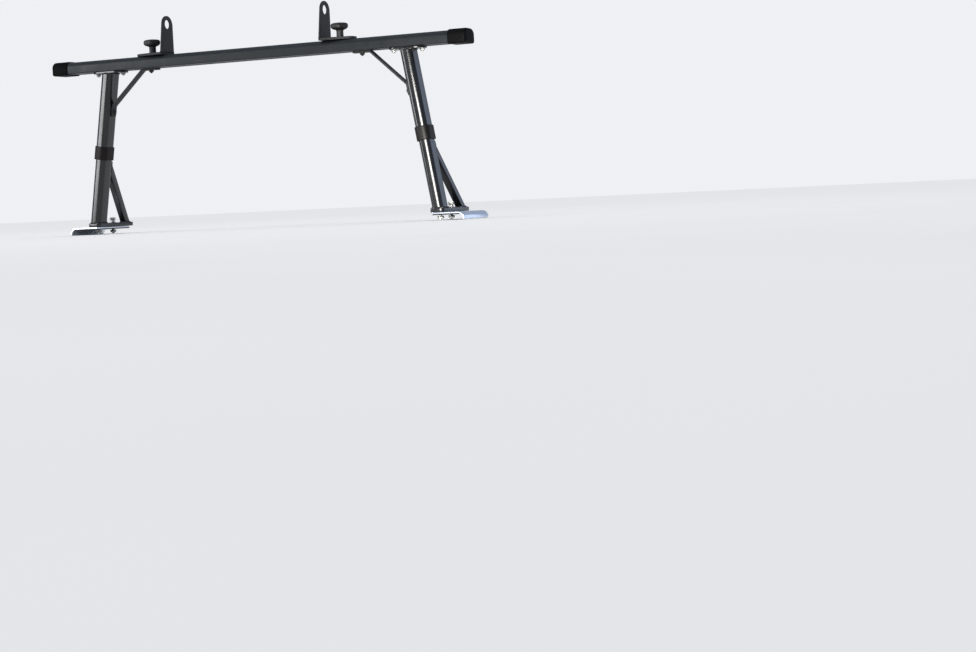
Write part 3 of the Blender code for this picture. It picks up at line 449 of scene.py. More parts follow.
def oval(shrink):
    """Outline of the post, shrunk all round."""
    half = np.array([POST_WIDTH / 2 - shrink, POST_DEPTH / 2 - shrink])
    return round_rect(-half, half, POST_RADIUS - shrink, 12)


def tube(side, outer, inner, low_ring, high_ring):
    """A tube in a leg: up its outer outline, over the end, down the inner one and back."""
    rings = [low_ring(outer), high_ring(outer), high_ring(inner), low_ring(inner)]
    return shell(in_leg(side, np.array(rings)), "join")


def bead(path, outward, lift, size=WELD_SIZE, ripple=WELD_RIPPLE):
    """A weld along a closed path: a round section whose radius swells with each ripple.

    radius = size (1 + 0.13 cos(2 pi distance / ripple) + a slow wander of up to 0.17), and
    the middle of the section sits a little outside and above the path, to fill the corner.
    """
    loop = np.concatenate([path, path[:1]])
    steps = np.linalg.norm(np.diff(loop, axis=0), axis=1)
    length = steps.sum()
    waves = int(round(length / ripple))
    distances = np.linspace(0, length, waves * 6, endpoint=False)
    middle = along(loop, distances)
    travelled = np.concatenate([[0], np.cumsum(steps)])
    around = np.concatenate([outward, outward[:1]])
    out = np.stack([np.interp(distances, travelled, around[:, k]) for k in range(3)], 1)
    out /= np.linalg.norm(out, axis=1, keepdims=True)
    wave = 2 * pi * distances * waves / length
    wander = 0.10 * np.sin(3.7 * wave / waves * 2 + 1.0) + 0.07 * np.sin(wave / 9)
    radius = size * (1 + 0.13 * np.cos(wave) + wander)
    turn = np.linspace(0, 2 * pi, 12, endpoint=False)
    center = middle + (out + lift) * size * 0.12
    rings = center[:, None] + radius[:, None, None] * (
        out[:, None] * np.cos(turn)[None, :, None] + np.array(lift) * np.sin(turn)[None, :, None])
    return shell(rings, "join")


def outward_of(outline):
    """Unit normals of a flat outline, pointing out, as flat vectors."""
    out = outline - inset(outline, 0.001)
    return out / np.linalg.norm(out, axis=1, keepdims=True)


for side, word in SIDES:
    outer, inner = oval(LOWER_SHRINK), oval(LOWER_SHRINK + POST_WALL)
    floor_ring = lambda outline: height_in_leg(side, outline, FOOT_TOP + GAP)
    top_ring = lambda outline: level(outline, LOWER_LENGTH)
    post = tube(side, outer, inner, floor_ring, top_ring)
    add_piece("lower_tube_" + word, [post], LEG_COAT, "feet",
              ["lower_post_" + word])
    foot = in_leg(side, floor_ring(outer))
    weld = bead(foot, level(outward_of(outer), 0), np.array([0, 0, 1.0]))
    add_piece("post_weld_" + word, [weld], LEG_COAT, "feet", [])

# ------------------------------------------------------------------ lower braces
# A 24 mm square steel tube runs from the front of the foot plate back up to the post. Both its
# ends are cut to fit and welded.

BRACE_SIZE, BRACE_RADIUS, BRACE_TOP, BRACE_REACH = 0.024, 0.0035, 0.214, 0.170
BRACE_LOW_WELD, BRACE_TOP_WELD = 0.0024, 0.0028

for side, word in SIDES:
    axes = leg_axes(side)[1]
    face = POST_DEPTH / 2 - LOWER_SHRINK
    slope = np.array([0, face - BRACE_REACH, BRACE_TOP])
    slope /= np.linalg.norm(slope)
    forward = np.array([0, slope[2], -slope[1]])
    start = np.array([0, BRACE_REACH, 0]) - forward * BRACE_SIZE / 2
    half = np.full(2, BRACE_SIZE / 2)
    outline = round_rect(-half, half, BRACE_RADIUS, 6)
    section = start + outline[:, :1] * np.array([1.0, 0, 0]) + outline[:, 1:] * forward
    to_floor = ((GAP - outline[:, 0] * axes[0, 2]) / axes[2, 2] - section[:, 2]) / slope[2]
    to_post = (face + GAP - section[:, 1]) / slope[1]
    low = section + to_floor[:, None] * slope
    high = section + to_post[:, None] * slope
    brace = shell(in_leg(side, np.array([low, high])), "face")
    add_piece("brace_" + word, [brace], LEG_COAT, "feet", ["lower_brace_" + word])
    out = outward_of(outline)
    base_weld = bead(in_leg(side, low), level(out, 0), np.array([0, 0, 1.0]), BRACE_LOW_WELD)
    upright_out = out[:, :1] * axes[0] + out[:, 1:] * axes[2]
    top_weld = bead(in_leg(side, high), upright_out, np.array([0, 1.0, 0]), BRACE_TOP_WELD)
    add_piece("brace_welds_" + word, [base_weld, top_weld], LEG_COAT, "feet", [])

# ------------------------------------------------------------------ foot bolts
# Two M10 bolts hold each foot to the rail: one inside the post, with only its nut in sight, and
# one ahead of the post on a tall flanged bush. Cold-headed steel, zinc plated.

FOOT_BOLT_AHEAD = 0.082
M6, M8, M10 = 0.003, 0.004, 0.005
PITCH_M6, PITCH_M8, PITCH_M10 = 0.0010, 0.00125, 0.0015
NUT_M10_FLATS, NUT_M10_HEIGHT, HEAD_M10_HEIGHT = 0.017, 0.0085, 0.009
BUSH_RADIUS, BUSH_HEIGHT, BUSH_FLANGE_RADIUS, BUSH_FLANGE_THICK = 0.007, 0.0085, 0.011, 0.002
BUSH_EDGE, BUSH_FILLET = 0.0004, 0.0008
BOLT_TAIL, RAIL_SHEET = 0.003, 0.003


def lathe(profile, sides=48):
    """A turned shape: each (radius, height) of the profile carried round the axis."""
    turn = np.linspace(0, 2 * pi, sides, endpoint=False)
    profile = np.array(profile, float)
    x = profile[:, :1] * np.cos(turn)
    y = profile[:, :1] * np.sin(turn)
    return np.stack([x, y, np.broadcast_to(profile[:, 1:], x.shape)], -1)


def hexagon(turn, flats):
    """Distance from the axis to a hexagon's side in each direction."""
    return flats / 2 / np.cos((turn + pi / 6) % (pi / 3) - pi / 6)


def hex_head(flats, height):
    """A hexagon with its upper corners turned off at 30 degrees.

    Between the round face and the corner the height falls by the extra radius times
    tan 30, which leaves the curved line seen on each side of a real head. The seat is
    drawn in by 1.5 per cent, so that its edge catches the light.
    """
    turn = np.linspace(0, 2 * pi, 72, endpoint=False)
    corner, face = hexagon(turn, flats), flats / 2 * 0.94
    rings = []
    for share in (0.0, 0.35, 0.7, 1.0):
        radius = face + share * (corner - face)
        rings.append(np.stack([radius * np.cos(turn), radius * np.sin(turn),
                               height - (radius - face) * tan(pi / 6)], 1))
    rim = np.stack([corner * np.cos(turn), corner * np.sin(turn), 0 * turn], 1)
    seat = [rim * (0.985, 0.985, 1), rim + (0, 0, flats * 0.012)]
    return shell(np.array(seat + rings[::-1]))


def screw_thread(radius, pitch, low, high):
    """A threaded stem: the radius falls by 0.55 of the pitch at the bottom of each turn.

    radius(angle, z) = radius - depth (1 - cos(2 pi z / pitch - angle)) / 2, tapering at ends.
    """
    turn = np.linspace(0, 2 * pi, 24, endpoint=False)
    z = np.linspace(low, high, max(8, int((high - low) / pitch * 6)))
    depth = 0.55 * pitch
    taper = np.clip(np.minimum(z - low, high - z) / pitch, 0, 1)
    wave = (1 - np.cos(2 * pi * z[:, None] / pitch - turn)) / 2
    r = (radius - depth * wave) * (0.80 + 0.20 * taper[:, None])
    return shell(np.stack([r * np.cos(turn), r * np.sin(turn),
                           np.broadcast_to(z[:, None], r.shape)], -1))


def upside_down(surface):
    """The surface turned half round about the X axis."""
    points, groups = surface
    return points * (1, -1, -1), groups


def flange_nut(flats, height):
    """A hexagon nut under its own round flange, which faces up."""
    flange = shell(lathe([(flats * 0.50, height * 0.55), (flats * 0.60, height * 0.74),
                          (flats * 0.655, height * 0.82), (flats * 0.66, height * 0.96),
                          (flats * 0.64, height)]))
    body = moved(upside_down(hex_head(flats, height * 0.80)), (0, 0, height * 0.80))
    return [flange, body]


# Bright zinc plate on steel: cool silver with a faint blue and straw bloom from the passivation
# bath, soft-edged reflections and a crystalline grain, drawn at about 1 mm so that it shows.
ZINC_PLATE, shader, place = new_finish("bright_zinc_plate", Metallic=1.0)
bloom = add_node(ZINC_PLATE, "TexNoise", {"Vector": place, "Scale": 160.0, "Detail": 3.0})
crystal = add_node(ZINC_PLATE, "TexVoronoi", {"Vector": place, "Scale": 900.0})
tone = add_node(ZINC_PLATE, "Mix", {"Factor": bloom, "A": linear("#8e949c"),
                                    "B": linear("#b3b0a4")}, data_type="RGBA")
gloss = add_node(ZINC_PLATE, "MapRange", {"Value": crystal, "From Min": 0.0,
                                          "From Max": 0.8, "To Min": 0.34, "To Max": 0.48})
relief = add_node(ZINC_PLATE, "Bump", {"Height": crystal, "Strength": 0.12,
                                       "Distance": 0.00005})
set_inputs(ZINC_PLATE, shader, {"Base Color": tone, "Roughness": gloss, "Normal": relief})

nut_base = GASKET_TOP - GASKET_THICK - RAIL_SHEET - NUT_M10_HEIGHT
for side, word in SIDES:
    x = side * LEG_SPACING / 2
    rear, ahead = (x, LEG_Y, 0), (x, LEG_Y + FOOT_BOLT_AHEAD, 0)
    for offset, node in ((rear, "post_bolt_nut_"), (ahead, "foot_bolt_nut_")):
        nut = all_moved(flange_nut(NUT_M10_FLATS, NUT_M10_HEIGHT), (0, 0, nut_base))
        add_piece(node.replace("bolt_nut", "flange_nut") + word, all_moved(nut, offset),
                  ZINC_PLATE, "feet", [node + word])
    bush_z = FOOT_TOP + GAP
    head_z = bush_z + BUSH_HEIGHT + GAP
    bush = shell(lathe([(BUSH_FLANGE_RADIUS - BUSH_EDGE, 0), (BUSH_FLANGE_RADIUS, BUSH_EDGE),
                        (BUSH_FLANGE_RADIUS, BUSH_FLANGE_THICK - BUSH_EDGE),
                        (BUSH_FLANGE_RADIUS - BUSH_EDGE, BUSH_FLANGE_THICK),
                        (BUSH_RADIUS + BUSH_FILLET, BUSH_FLANGE_THICK),
                        (BUSH_RADIUS, BUSH_FLANGE_THICK + BUSH_FILLET),
                        (BUSH_RADIUS, BUSH_HEIGHT - BUSH_EDGE),
                        (BUSH_RADIUS - BUSH_EDGE, BUSH_HEIGHT)]))
    add_piece("tall_bush_" + word, [moved(moved(bush, (0, 0, bush_z)), ahead)], ZINC_PLATE,
              "feet", ["foot_bolt_bush_" + word])
    bolt = [moved(hex_head(NUT_M10_FLATS, HEAD_M10_HEIGHT), (0, 0, head_z)),
            screw_thread(M10, PITCH_M10, nut_base - BOLT_TAIL, head_z + 0.002)]
    add_piece("hex_bolt_" + word, all_moved(bolt, ahead), ZINC_PLATE, "feet",
              ["foot_bolt_" + word])
    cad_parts["post_bolt_" + word].data.materials[0] = ZINC_PLATE

# ------------------------------------------------------------------ upper posts
# The moving half of each leg is the larger oval tube. It slides over the lower one and is
# welded under a flange plate, which is bolted to the crossbar.

LEG_RISE = 0.510
BAR_Z = FOOT_TOP + LEG_RISE
LEG_TOP_X = LEG_SPACING / 2 - LEG_RISE * tan(LEAN)
PLATE_LENGTH, PLATE_WIDTH, PLATE_THICK, PLATE_EDGE = 0.124, 0.064, 0.006, 0.001
FLANGE_WELD = 0.0024
PLATE_Z = BAR_Z - GAP - PLATE_THICK
COLLAR_START, COLLAR_LENGTH, COLLAR_LEDGE, COLLAR_WALL = 0.218, 0.045, 0.012, 0.00375

for side, word in SIDES:
    body = "upper_leg_" + word
    seat_ring = lambda outline: level(outline, COLLAR_START + COLLAR_LEDGE + GAP)
    flange_ring = lambda outline: height_in_leg(side, outline, PLATE_Z - GAP)
    post = tube(side, oval(0), oval(POST_WALL), seat_ring, flange_ring)
    add_piece("upper_tube_" + word, [post], LEG_COAT, body, ["upper_post_" + word])
    top = in_leg(side, flange_ring(oval(0)))
    weld = bead(top, level(outward_of(oval(0)), 0), np.array([0, 0, -1.0]), FLANGE_WELD)
    add_piece("flange_weld_" + word, [weld], LEG_COAT, body, [])
    half = np.array([PLATE_LENGTH / 2, PLATE_WIDTH / 2])
    outline = round_rect(-half, half, PLATE_WIDTH / 2 - 0.002, 16)
    plate = slab(outline, 0, PLATE_THICK, PLATE_EDGE)
    add_piece("flange_" + word, [moved(plate, (side * LEG_TOP_X, LEG_Y, PLATE_Z))], LEG_COAT,
              body, ["top_plate_" + word])

# ------------------------------------------------------------------ collars
# A moulded nylon collar sits on the foot of each upper post and guides it on the lower one. A
# zinc plated lock screw in its forward face clamps the height.

LOCK_SCREW_UP, COLLAR_EDGE = 0.030, 0.0014
NUT_M8_FLATS, NUT_M8_HEIGHT, HEAD_M8_HEIGHT = 0.013, 0.0065, 0.0055


def moulded_finish(name, sheen, grain_kind, grain, relief, cloud_scale, hexes, gloss):
    """A black plastic that came out of a grained mould.

    The tool's grain is a relief, given as its strength and depth. A slow cloud, left by
    the flow of the melt, runs the colour from one hex to the other and the roughness from
    the first gloss to the second. sheen is the IOR and the specular level.
    """
    material, shader, place = new_finish(name, IOR=sheen[0], Specular_IOR_Level=sheen[1])
    grain = add_node(material, grain_kind, {"Vector": place, **grain})
    cloud = add_node(material, "TexNoise", {"Vector": place, "Scale": cloud_scale,
                                            "Detail": 3.0})
    tone = add_node(material, "Mix", {"Factor": cloud, "A": linear(hexes[0]),
                                      "B": linear(hexes[1])}, data_type="RGBA")
    rough = add_node(material, "MapRange", {"Value": cloud, "From Min": 0.3, "From Max": 0.7,
                                            "To Min": gloss[0], "To Max": gloss[1]})
    bump = add_node(material, "Bump", {"Height": grain, "Strength": relief[0],
                                       "Distance": relief[1]})
    set_inputs(material, shader, {"Base Color": tone, "Roughness": rough, "Normal": bump})
    return material


# Injection-moulded nylon, dyed a brown black: a waxy half gloss with a fine moulded grain.
COLLAR_NYLON = moulded_finish("moulded_nylon", (1.53, 0.14), "TexNoise",
                              {"Scale": 900.0, "Detail": 2.0}, (0.3, 0.00008), 45.0,
                              ("#130b0a", "#1d1413"), (0.42, 0.55))

for side, word in SIDES:
    body = "upper_leg_" + word
    top = COLLAR_START + COLLAR_LENGTH
    steps = [(-COLLAR_WALL + COLLAR_EDGE * (1 - sin(a)), COLLAR_EDGE * (1 - cos(a)))
             for a in np.radians(np.linspace(0, 90, 5))]
    rings = [level(oval(shrink), COLLAR_START + up) for shrink, up in steps]
    rings += [level(oval(shrink), top - up) for shrink, up in steps[::-1]]
    ledge = COLLAR_START + COLLAR_LEDGE
    rings += [level(oval(-GAP), top), level(oval(-GAP), ledge),
              level(oval(LOWER_SHRINK - GAP), ledge),
              level(oval(LOWER_SHRINK - GAP), COLLAR_START)]
    add_piece("collar_sleeve_" + word, [shell(in_leg(side, np.array(rings)), "join")],
              COLLAR_NYLON, body, ["collar_" + word])
    screw = [hex_head(NUT_M8_FLATS, HEAD_M8_HEIGHT),
             screw_thread(M8, PITCH_M8, -COLLAR_WALL - POST_WALL - GAP, 0.001)]
    seat = POST_DEPTH / 2 + COLLAR_WALL + GAP
    out = [(in_leg(side, part[0][:, [0, 2, 1]] * (1, 1, -1)
                   + (0, seat, COLLAR_START + LOCK_SCREW_UP)), part[1]) for part in screw]
    add_piece("clamp_screw_" + word, out, ZINC_PLATE, body, ["lock_screw_" + word])

# ------------------------------------------------------------------ slot bolts of the legs
# Square-headed M8 bolts slide in the slot of the bar's base. Each comes down through a flange
# or a strap and carries a flange nut. Those of the straps are coated black.

PLATE_BOLT_OFFSET = 0.050
SLOT_LIP = 0.003
T_HEAD_HALF, T_HEAD_THICK, T_HEAD_CORNER, T_HEAD_EDGE = 0.0095, 0.005, 0.0012, 0.0006
STRAP_WIDTH, STRAP_THICK, STRAP_REACH, STRAP_DROP = 0.025, 0.006, 0.131, 0.116
STRAP_TAB = 0.062

# Fine-textured black powder coat, as on the load stops: flat and dry, with a sandy grain that
# scatters every highlight, drawn at about 1 mm so that it shows.
TEXTURED_COAT, shader, place = new_finish("textured_black_powder_coat", IOR=1.45,
                                   Specular_IOR_Level=0.32)
grain = add_node(TEXTURED_COAT, "TexNoise", {"Vector": place, "Scale": 1100.0, "Detail": 3.0,
                                             "Roughness": 0.6})
cloud = add_node(TEXTURED_COAT, "TexNoise", {"Vector": place, "Scale": 30.0, "Detail": 4.0})
tone = add_node(TEXTURED_COAT, "Mix", {"Factor": cloud, "A": linear("#1d1d1e"),
                                       "B": linear("#2b2b2b")}, data_type="RGBA")
gloss = add_node(TEXTURED_COAT, "MapRange", {"Value": grain, "From Min": 0.3,
                                             "From Max": 0.7, "To Min": 0.50, "To Max": 0.68})
relief = add_node(TEXTURED_COAT, "Bump", {"Height": grain, "Strength": 0.55,
                                          "Distance": 0.00012})
set_inputs(TEXTURED_COAT, shader, {"Base Color": tone, "Roughness": gloss, "Normal": relief})


def square_head():
    """The flat square head of a slot bolt, from Z = 0 up."""
    half = np.full(2, T_HEAD_HALF)
    return slab(round_rect(-half, half, T_HEAD_CORNER, 4), 0, T_HEAD_THICK, T_HEAD_EDGE)


for side, word in SIDES:
    body = "upper_leg_" + word
    strap_x = side * (LEG_TOP_X - STRAP_REACH - STRAP_TAB / 2)
    for kind, x, clamped, finish, slot in (
            ("outer_plate", side * (LEG_TOP_X + PLATE_BOLT_OFFSET), PLATE_THICK,
             ZINC_PLATE, "zinc"),
            ("inner_plate", side * (LEG_TOP_X - PLATE_BOLT_OFFSET), PLATE_THICK,
             ZINC_PLATE, "zinc"),
            ("strap", strap_x, STRAP_THICK, TEXTURED_COAT, "stop_coat")):
        head_z = BAR_Z + SLOT_LIP + GAP
        nut_z = BAR_Z - 2 * GAP - clamped - NUT_M8_HEIGHT
        bolt = [moved(square_head(), (0, 0, head_z)),
                screw_thread(M8, PITCH_M8, nut_z - BOLT_TAIL, head_z + 0.001)]
        nut = all_moved(flange_nut(NUT_M8_FLATS, NUT_M8_HEIGHT), (0, 0, nut_z))
        add_piece(kind + "_slot_bolt_" + word, all_moved(bolt, (x, LEG_Y, 0)), finish, body,
                  [kind + "_bolt_" + word])
        add_piece(kind + "_flange_nut_" + word, all_moved(nut, (x, LEG_Y, 0)), finish, body,
                  [kind + "_nut_" + word])

# ------------------------------------------------------------------ upper straps
# A 25 x 6 mm flat steel bar stays each post to the crossbar. It is bent to a tab at each end:
# the upper one is bolted to the slot, the lower one is screwed to the post.

STRAP_LOWER_TAB, STRAP_SCREW_LOW = 0.036, 0.002
STRAP_BEND, STRAP_CORNER, STRAP_EDGE = 0.010, 0.007, 0.0008
HEAD_M6_FLATS, HEAD_M6_HEIGHT, FLANGE_M6_RADIUS, FLANGE_M6_THICK = 0.010, 0.004, 0.0075, 0.0015


def rounded_path(points, radius, steps=10):
    """A polyline whose inner corners are rounded.

    A parabola takes each corner's place and leaves its two sides where an arc of the
    radius would: (1 - t)^2 start + 2 t (1 - t) corner + t^2 end.
    """
    points = np.array(points, float)
    out = [points[:1]]
    for before, corner, after in zip(points[:-2], points[1:-1], points[2:]):
        a, b = before - corner, after - corner
        a, b = a / np.linalg.norm(a), b / np.linalg.norm(b)
        half_angle = np.arccos(np.clip(a @ b, -1, 1)) / 2
        reach = radius / np.tan(half_angle)
        share = np.linspace(0, 1, steps + 1)[:, None]
        start, end = corner + a * reach, corner + b * reach
        out.append((1 - share) ** 2 * start + 2 * share * (1 - share) * corner
                   + share ** 2 * end)
    out.append(points[-1:])
    return np.concatenate(out)


for side, word in SIDES:
    body = "upper_leg_" + word
    face = POST_WIDTH / 2 + GAP + STRAP_THICK / 2
    bend_x = side * (LEG_TOP_X - STRAP_REACH)
    top_z = BAR_Z - GAP - STRAP_THICK / 2
    low_z = BAR_Z - STRAP_DROP
    end_z = low_z - STRAP_LOWER_TAB * cos(LEAN)
    on_post = [side * (LEG_SPACING / 2 - (z - FOOT_TOP) * tan(LEAN) - face / cos(LEAN))
               for z in (low_z, end_z)]
    corners = [(bend_x - side * STRAP_TAB, top_z), (bend_x, top_z), (on_post[0], low_z),
               (on_post[1], end_z)]
    path = rounded_path(corners, STRAP_BEND)

    def half_width(distance, length, points):
        near = np.minimum(distance, length - distance)
        drop = np.clip(STRAP_CORNER - near, 0, STRAP_CORNER)
        return STRAP_WIDTH / 2 - STRAP_CORNER + np.sqrt(STRAP_CORNER ** 2 - drop ** 2)

    strap = strip(path, lambda *where: LEG_Y - half_width(*where),
                  lambda *where: LEG_Y + half_width(*where), STRAP_THICK, STRAP_EDGE, 120)
    add_piece("stay_" + word, [strap], TEXTURED_COAT, body,
              ["upper_strap_" + word])
    screw = [shell(lathe([(FLANGE_M6_RADIUS - 0.0003, 0), (FLANGE_M6_RADIUS, 0.0003),
                          (FLANGE_M6_RADIUS, 0.0008), (0.0055, FLANGE_M6_THICK)])),
             moved(hex_head(HEAD_M6_FLATS, HEAD_M6_HEIGHT), (0, 0, FLANGE_M6_THICK - GAP)),
             screw_thread(M6, PITCH_M6, -STRAP_THICK - POST_WALL - 3 * GAP, 0.0005)]
    center = np.array([(on_post[0] + on_post[1]) / 2, LEG_Y,
                       (low_z + end_z) / 2 - STRAP_SCREW_LOW])
    axes = leg_axes(side)[1]
    out = -side * axes[0]
    turn = np.stack([np.array([0, 1.0, 0]), np.cross(out, [0, 1.0, 0]), out])
    seat = center + out * (STRAP_THICK / 2 + GAP)
    add_piece("stay_screw_" + word, [(seat + part[0] @ turn, part[1]) for part in screw],
              TEXTURED_COAT, body, ["strap_screw_" + word])

# ------------------------------------------------------------------ crossbar
# One aluminium extrusion, 1524 mm long, loaf-shaped, with a T-slot in its top and in its base
# and hollow sides. Sawn to length and coated a satin charcoal.

BAR_LENGTH, BAR_WIDTH, BAR_HEIGHT = 1.524, 0.068, 0.040
BAR_FLAT_HALF, BAR_SHOULDER_DROP, BAR_EDGE = 0.014, 0.017, 0.003
SLOT_HALF, CHAMBER_HALF, CHAMBER_DEPTH = 0.0055, 0.0105, 0.009
BAR_TOP = BAR_Z + BAR_HEIGHT


def half_section(offset, shoulder_steps=16):
    """Right half of the bar's outline in Y and Z: base edge, straight side, elliptic shoulder."""
    half, edge = BAR_WIDTH / 2 + offset, BAR_EDGE + offset
    across, drop = BAR_WIDTH / 2 - BAR_FLAT_HALF + offset, BAR_SHOULDER_DROP + offset
    turn = np.radians(np.linspace(0, 90, shoulder_steps + 1))
    shoulder = np.stack([BAR_FLAT_HALF + across * np.cos(turn),
                         BAR_HEIGHT - BAR_SHOULDER_DROP + drop * np.sin(turn)], 1)
    return np.concatenate([quarter((half - edge, edge - offset), edge, 270, 360, 6), shoulder])


def both_halves(half):
    """A right half outline closed by its mirror image."""
    return np.concatenate([half, half[::-1] * (-1, 1)])


def slot_mouth():
    """Right half of a T-slot, from its floor out to the base, with 0.5 mm round lips."""
    depth, soft = SLOT_LIP + CHAMBER_DEPTH, 0.0005
    return np.concatenate([[(CHAMBER_HALF, depth), (CHAMBER_HALF, SLOT_LIP),
                            (SLOT_HALF + soft, SLOT_LIP)],
                           quarter((SLOT_HALF + soft, SLOT_LIP - soft), soft, 90, 180, 3),
                           quarter((SLOT_HALF + soft, soft), soft, 180, 270, 3)])


# Satin charcoal powder coat on extruded aluminium: a slate grey that evens out the light, with
# a very fine grain and the faint long lines of the die showing through.
BAR_COAT, shader, place = new_finish("satin_charcoal_powder_coat", IOR=1.5, Specular_IOR_Level=0.15)
grain = add_node(BAR_COAT, "TexNoise", {"Vector": place, "Scale": 1200.0, "Detail": 2.0})
drawn = add_node(BAR_COAT, "Mapping", {"Vector": place, "Scale": (2.0, 520.0, 520.0)})
die = add_node(BAR_COAT, "TexNoise", {"Vector": drawn, "Scale": 1.0,
                                      "Detail": 2.0})
cloud = add_node(BAR_COAT, "TexNoise", {"Vector": place, "Scale": 22.0, "Detail": 5.0,
                                        "Roughness": 0.6})
shade = add_node(BAR_COAT, "Math", {0: cloud, 1: die},
                 operation="MULTIPLY")
tone = add_node(BAR_COAT, "Mix", {"Factor": shade, "A": linear("#222629"),
                                  "B": linear("#394046")}, data_type="RGBA")
gloss = add_node(BAR_COAT, "MapRange", {"Value": cloud, "From Min": 0.3,
                                        "From Max": 0.7, "To Min": 0.38, "To Max": 0.52})
fine = add_node(BAR_COAT, "Bump", {"Height": grain, "Strength": 0.25,
                                   "Distance": 0.00006})
relief = add_node(BAR_COAT, "Bump", {"Height": die, "Strength": 0.12,
                                     "Distance": 0.0001, "Normal": fine})
set_inputs(BAR_COAT, shader, {"Base Color": tone, "Roughness": gloss, "Normal": relief})

base_slot = slot_mouth()
top_slot = base_slot[::-1] * (1, -1) + (0, BAR_HEIGHT)
outline = both_halves(np.concatenate([base_slot, half_section(0), top_slot]))
stations = np.linspace(-BAR_LENGTH / 2, BAR_LENGTH / 2, 25)[:, None]
rings = np.stack(np.broadcast_arrays(stations, LEG_Y + outline[:, 0], BAR_Z + outline[:, 1]),
                 -1)
add_piece("bar_extrusion", [shell(rings, "face")], BAR_COAT, "lifting_bar",
          ["crossbar"], 32)

# ------------------------------------------------------------------ end caps
# A moulded sleeve of black polyethylene covers each end of the bar. Its outer end is closed
# and well rounded towards the top; it is pushed on and grips the extrusion.

CAP_LENGTH, CAP_OVERHANG, CAP_WALL, CAP_END_WALL = 0.062, 0.013, 0.003, 0.004
CAP_ROUND, CAP_LIP = 0.009, 0.0008

# Black polyethylene, moulded in a spark-eroded tool: the darkest part, dead matt, with a
# fine leathery grain.
CAP_PLASTIC = moulded_finish("moulded_polyethylene", (1.5, 0.06), "TexVoronoi",
                             {"Scale": 900.0}, (0.35, 0.0001), 40.0,
                             ("#030303", "#0a0a0a"), (0.55, 0.70))

for side, word in SIDES:
    outer_x = BAR_LENGTH / 2 + CAP_OVERHANG
    inner_x = outer_x - CAP_LENGTH
    skin = both_halves(half_section(GAP + CAP_WALL))
    core = both_halves(half_section(GAP))
    pairs = [(core, 0, outer_x - CAP_END_WALL), (core, 0, inner_x + CAP_LIP),
             (core, -CAP_LIP, inner_x), (skin, CAP_LIP, inner_x),
             (skin, CAP_LIP * 0.3, inner_x + CAP_LIP * 0.3), (skin, 0, inner_x + CAP_LIP)]
    pairs += [(skin, CAP_ROUND * (1 - cos(a)), outer_x - CAP_ROUND * (1 - sin(a)) * 0.8)
              for a in np.radians(np.linspace(0, 78, 10))]
    rings = []
    for section, shrink, x in pairs:
        loop = inset(section, shrink) if shrink else section
        rings.append(np.column_stack([np.full(len(loop), side * x), LEG_Y + loop[:, 0],
                                      BAR_Z + loop[:, 1]]))
    add_piece("cap_sleeve_" + word, [shell(np.array(rings))], CAP_PLASTIC, "lifting_bar",
              ["end_cap_" + word])

# ------------------------------------------------------------------ load stops
# Each load stop is an upright 5 mm plate with a tie-down eye, welded across an 8 mm base plate
# that narrows outboard. Laser-cut steel in the textured black coat.

STOPS = {"left": -0.332, "right": 0.265}
STOP_THICK, STOP_HEIGHT, STOP_TOP_RADIUS, STOP_TOP_AHEAD = 0.005, 0.129, 0.031, 0.008
STOP_BASE_WIDTH, STOP_BASE_THICK, STOP_BASE_LENGTH = 0.078, 0.008, 0.110
STOP_BASE_TIP, STOP_BASE_STRAIGHT, STOP_BASE_EDGE = 0.020, 0.030, 0.0012
STOP_EDGE, STOP_WELD = 0.0007, 0.0018
EYE_RADIUS, EYE_DROP = 0.015, 0.028
KNOB_OFFSET = 0.056
STOP_SEAT = BAR_TOP + GAP


def resampled(outline, count):
    """The closed outline with extra points along its long sides and its corners kept."""
    loop = np.concatenate([outline, outline[:1]])
    sides = np.linalg.norm(np.diff(loop, axis=0), axis=1)
    parts = np.maximum(1, np.round(sides / sides.sum() * count)).astype(int)
    pieces = [a + (b - a) * np.linspace(0, 1, n, endpoint=False)[:, None]
              for a, b, n in zip(loop[:-1], loop[1:], parts)]
    return np.concatenate(pieces)


def upright_plate(x):
    """The upright: from the outline in to the eye on one face, through, and out on the other.

    A point of the eye lies on the line from the eye's middle to the outline's point.
    """
    half = STOP_BASE_WIDTH / 2
    top = quarter((STOP_TOP_AHEAD, STOP_HEIGHT - STOP_TOP_RADIUS), STOP_TOP_RADIUS, 0, 173, 36)
    outline = np.concatenate([[(-half, STOP_BASE_THICK), (-half, 0), (half, 0),
                               (half, STOP_BASE_THICK)], top])
    outline = resampled(outline, 150)
    middle = np.array([STOP_TOP_AHEAD, STOP_HEIGHT - EYE_DROP])
    ray = outline - middle
    ray /= np.linalg.norm(ray, axis=1, keepdims=True)
    turn = np.radians(np.linspace(0, 90, 4))
    rings = []
    for face in (1, -1):
        arcs = [(STOP_EDGE * (1 - cos(a)), STOP_THICK / 2 - STOP_EDGE * (1 - sin(a)))
                for a in turn]
        outer = [(inset(outline, shrink), depth) for shrink, depth in arcs]
        eye = [(middle + ray * (EYE_RADIUS + shrink), depth) for shrink, depth in arcs[::-1]]
        half_rings = [np.column_stack([np.full(len(outline), x + face * depth),
                                       LEG_Y + loop[:, 0], STOP_SEAT + loop[:, 1]])
                      for loop, depth in outer + eye]
        rings += half_rings if face > 0 else half_rings[::-1]
    return shell(np.array(rings), "join")


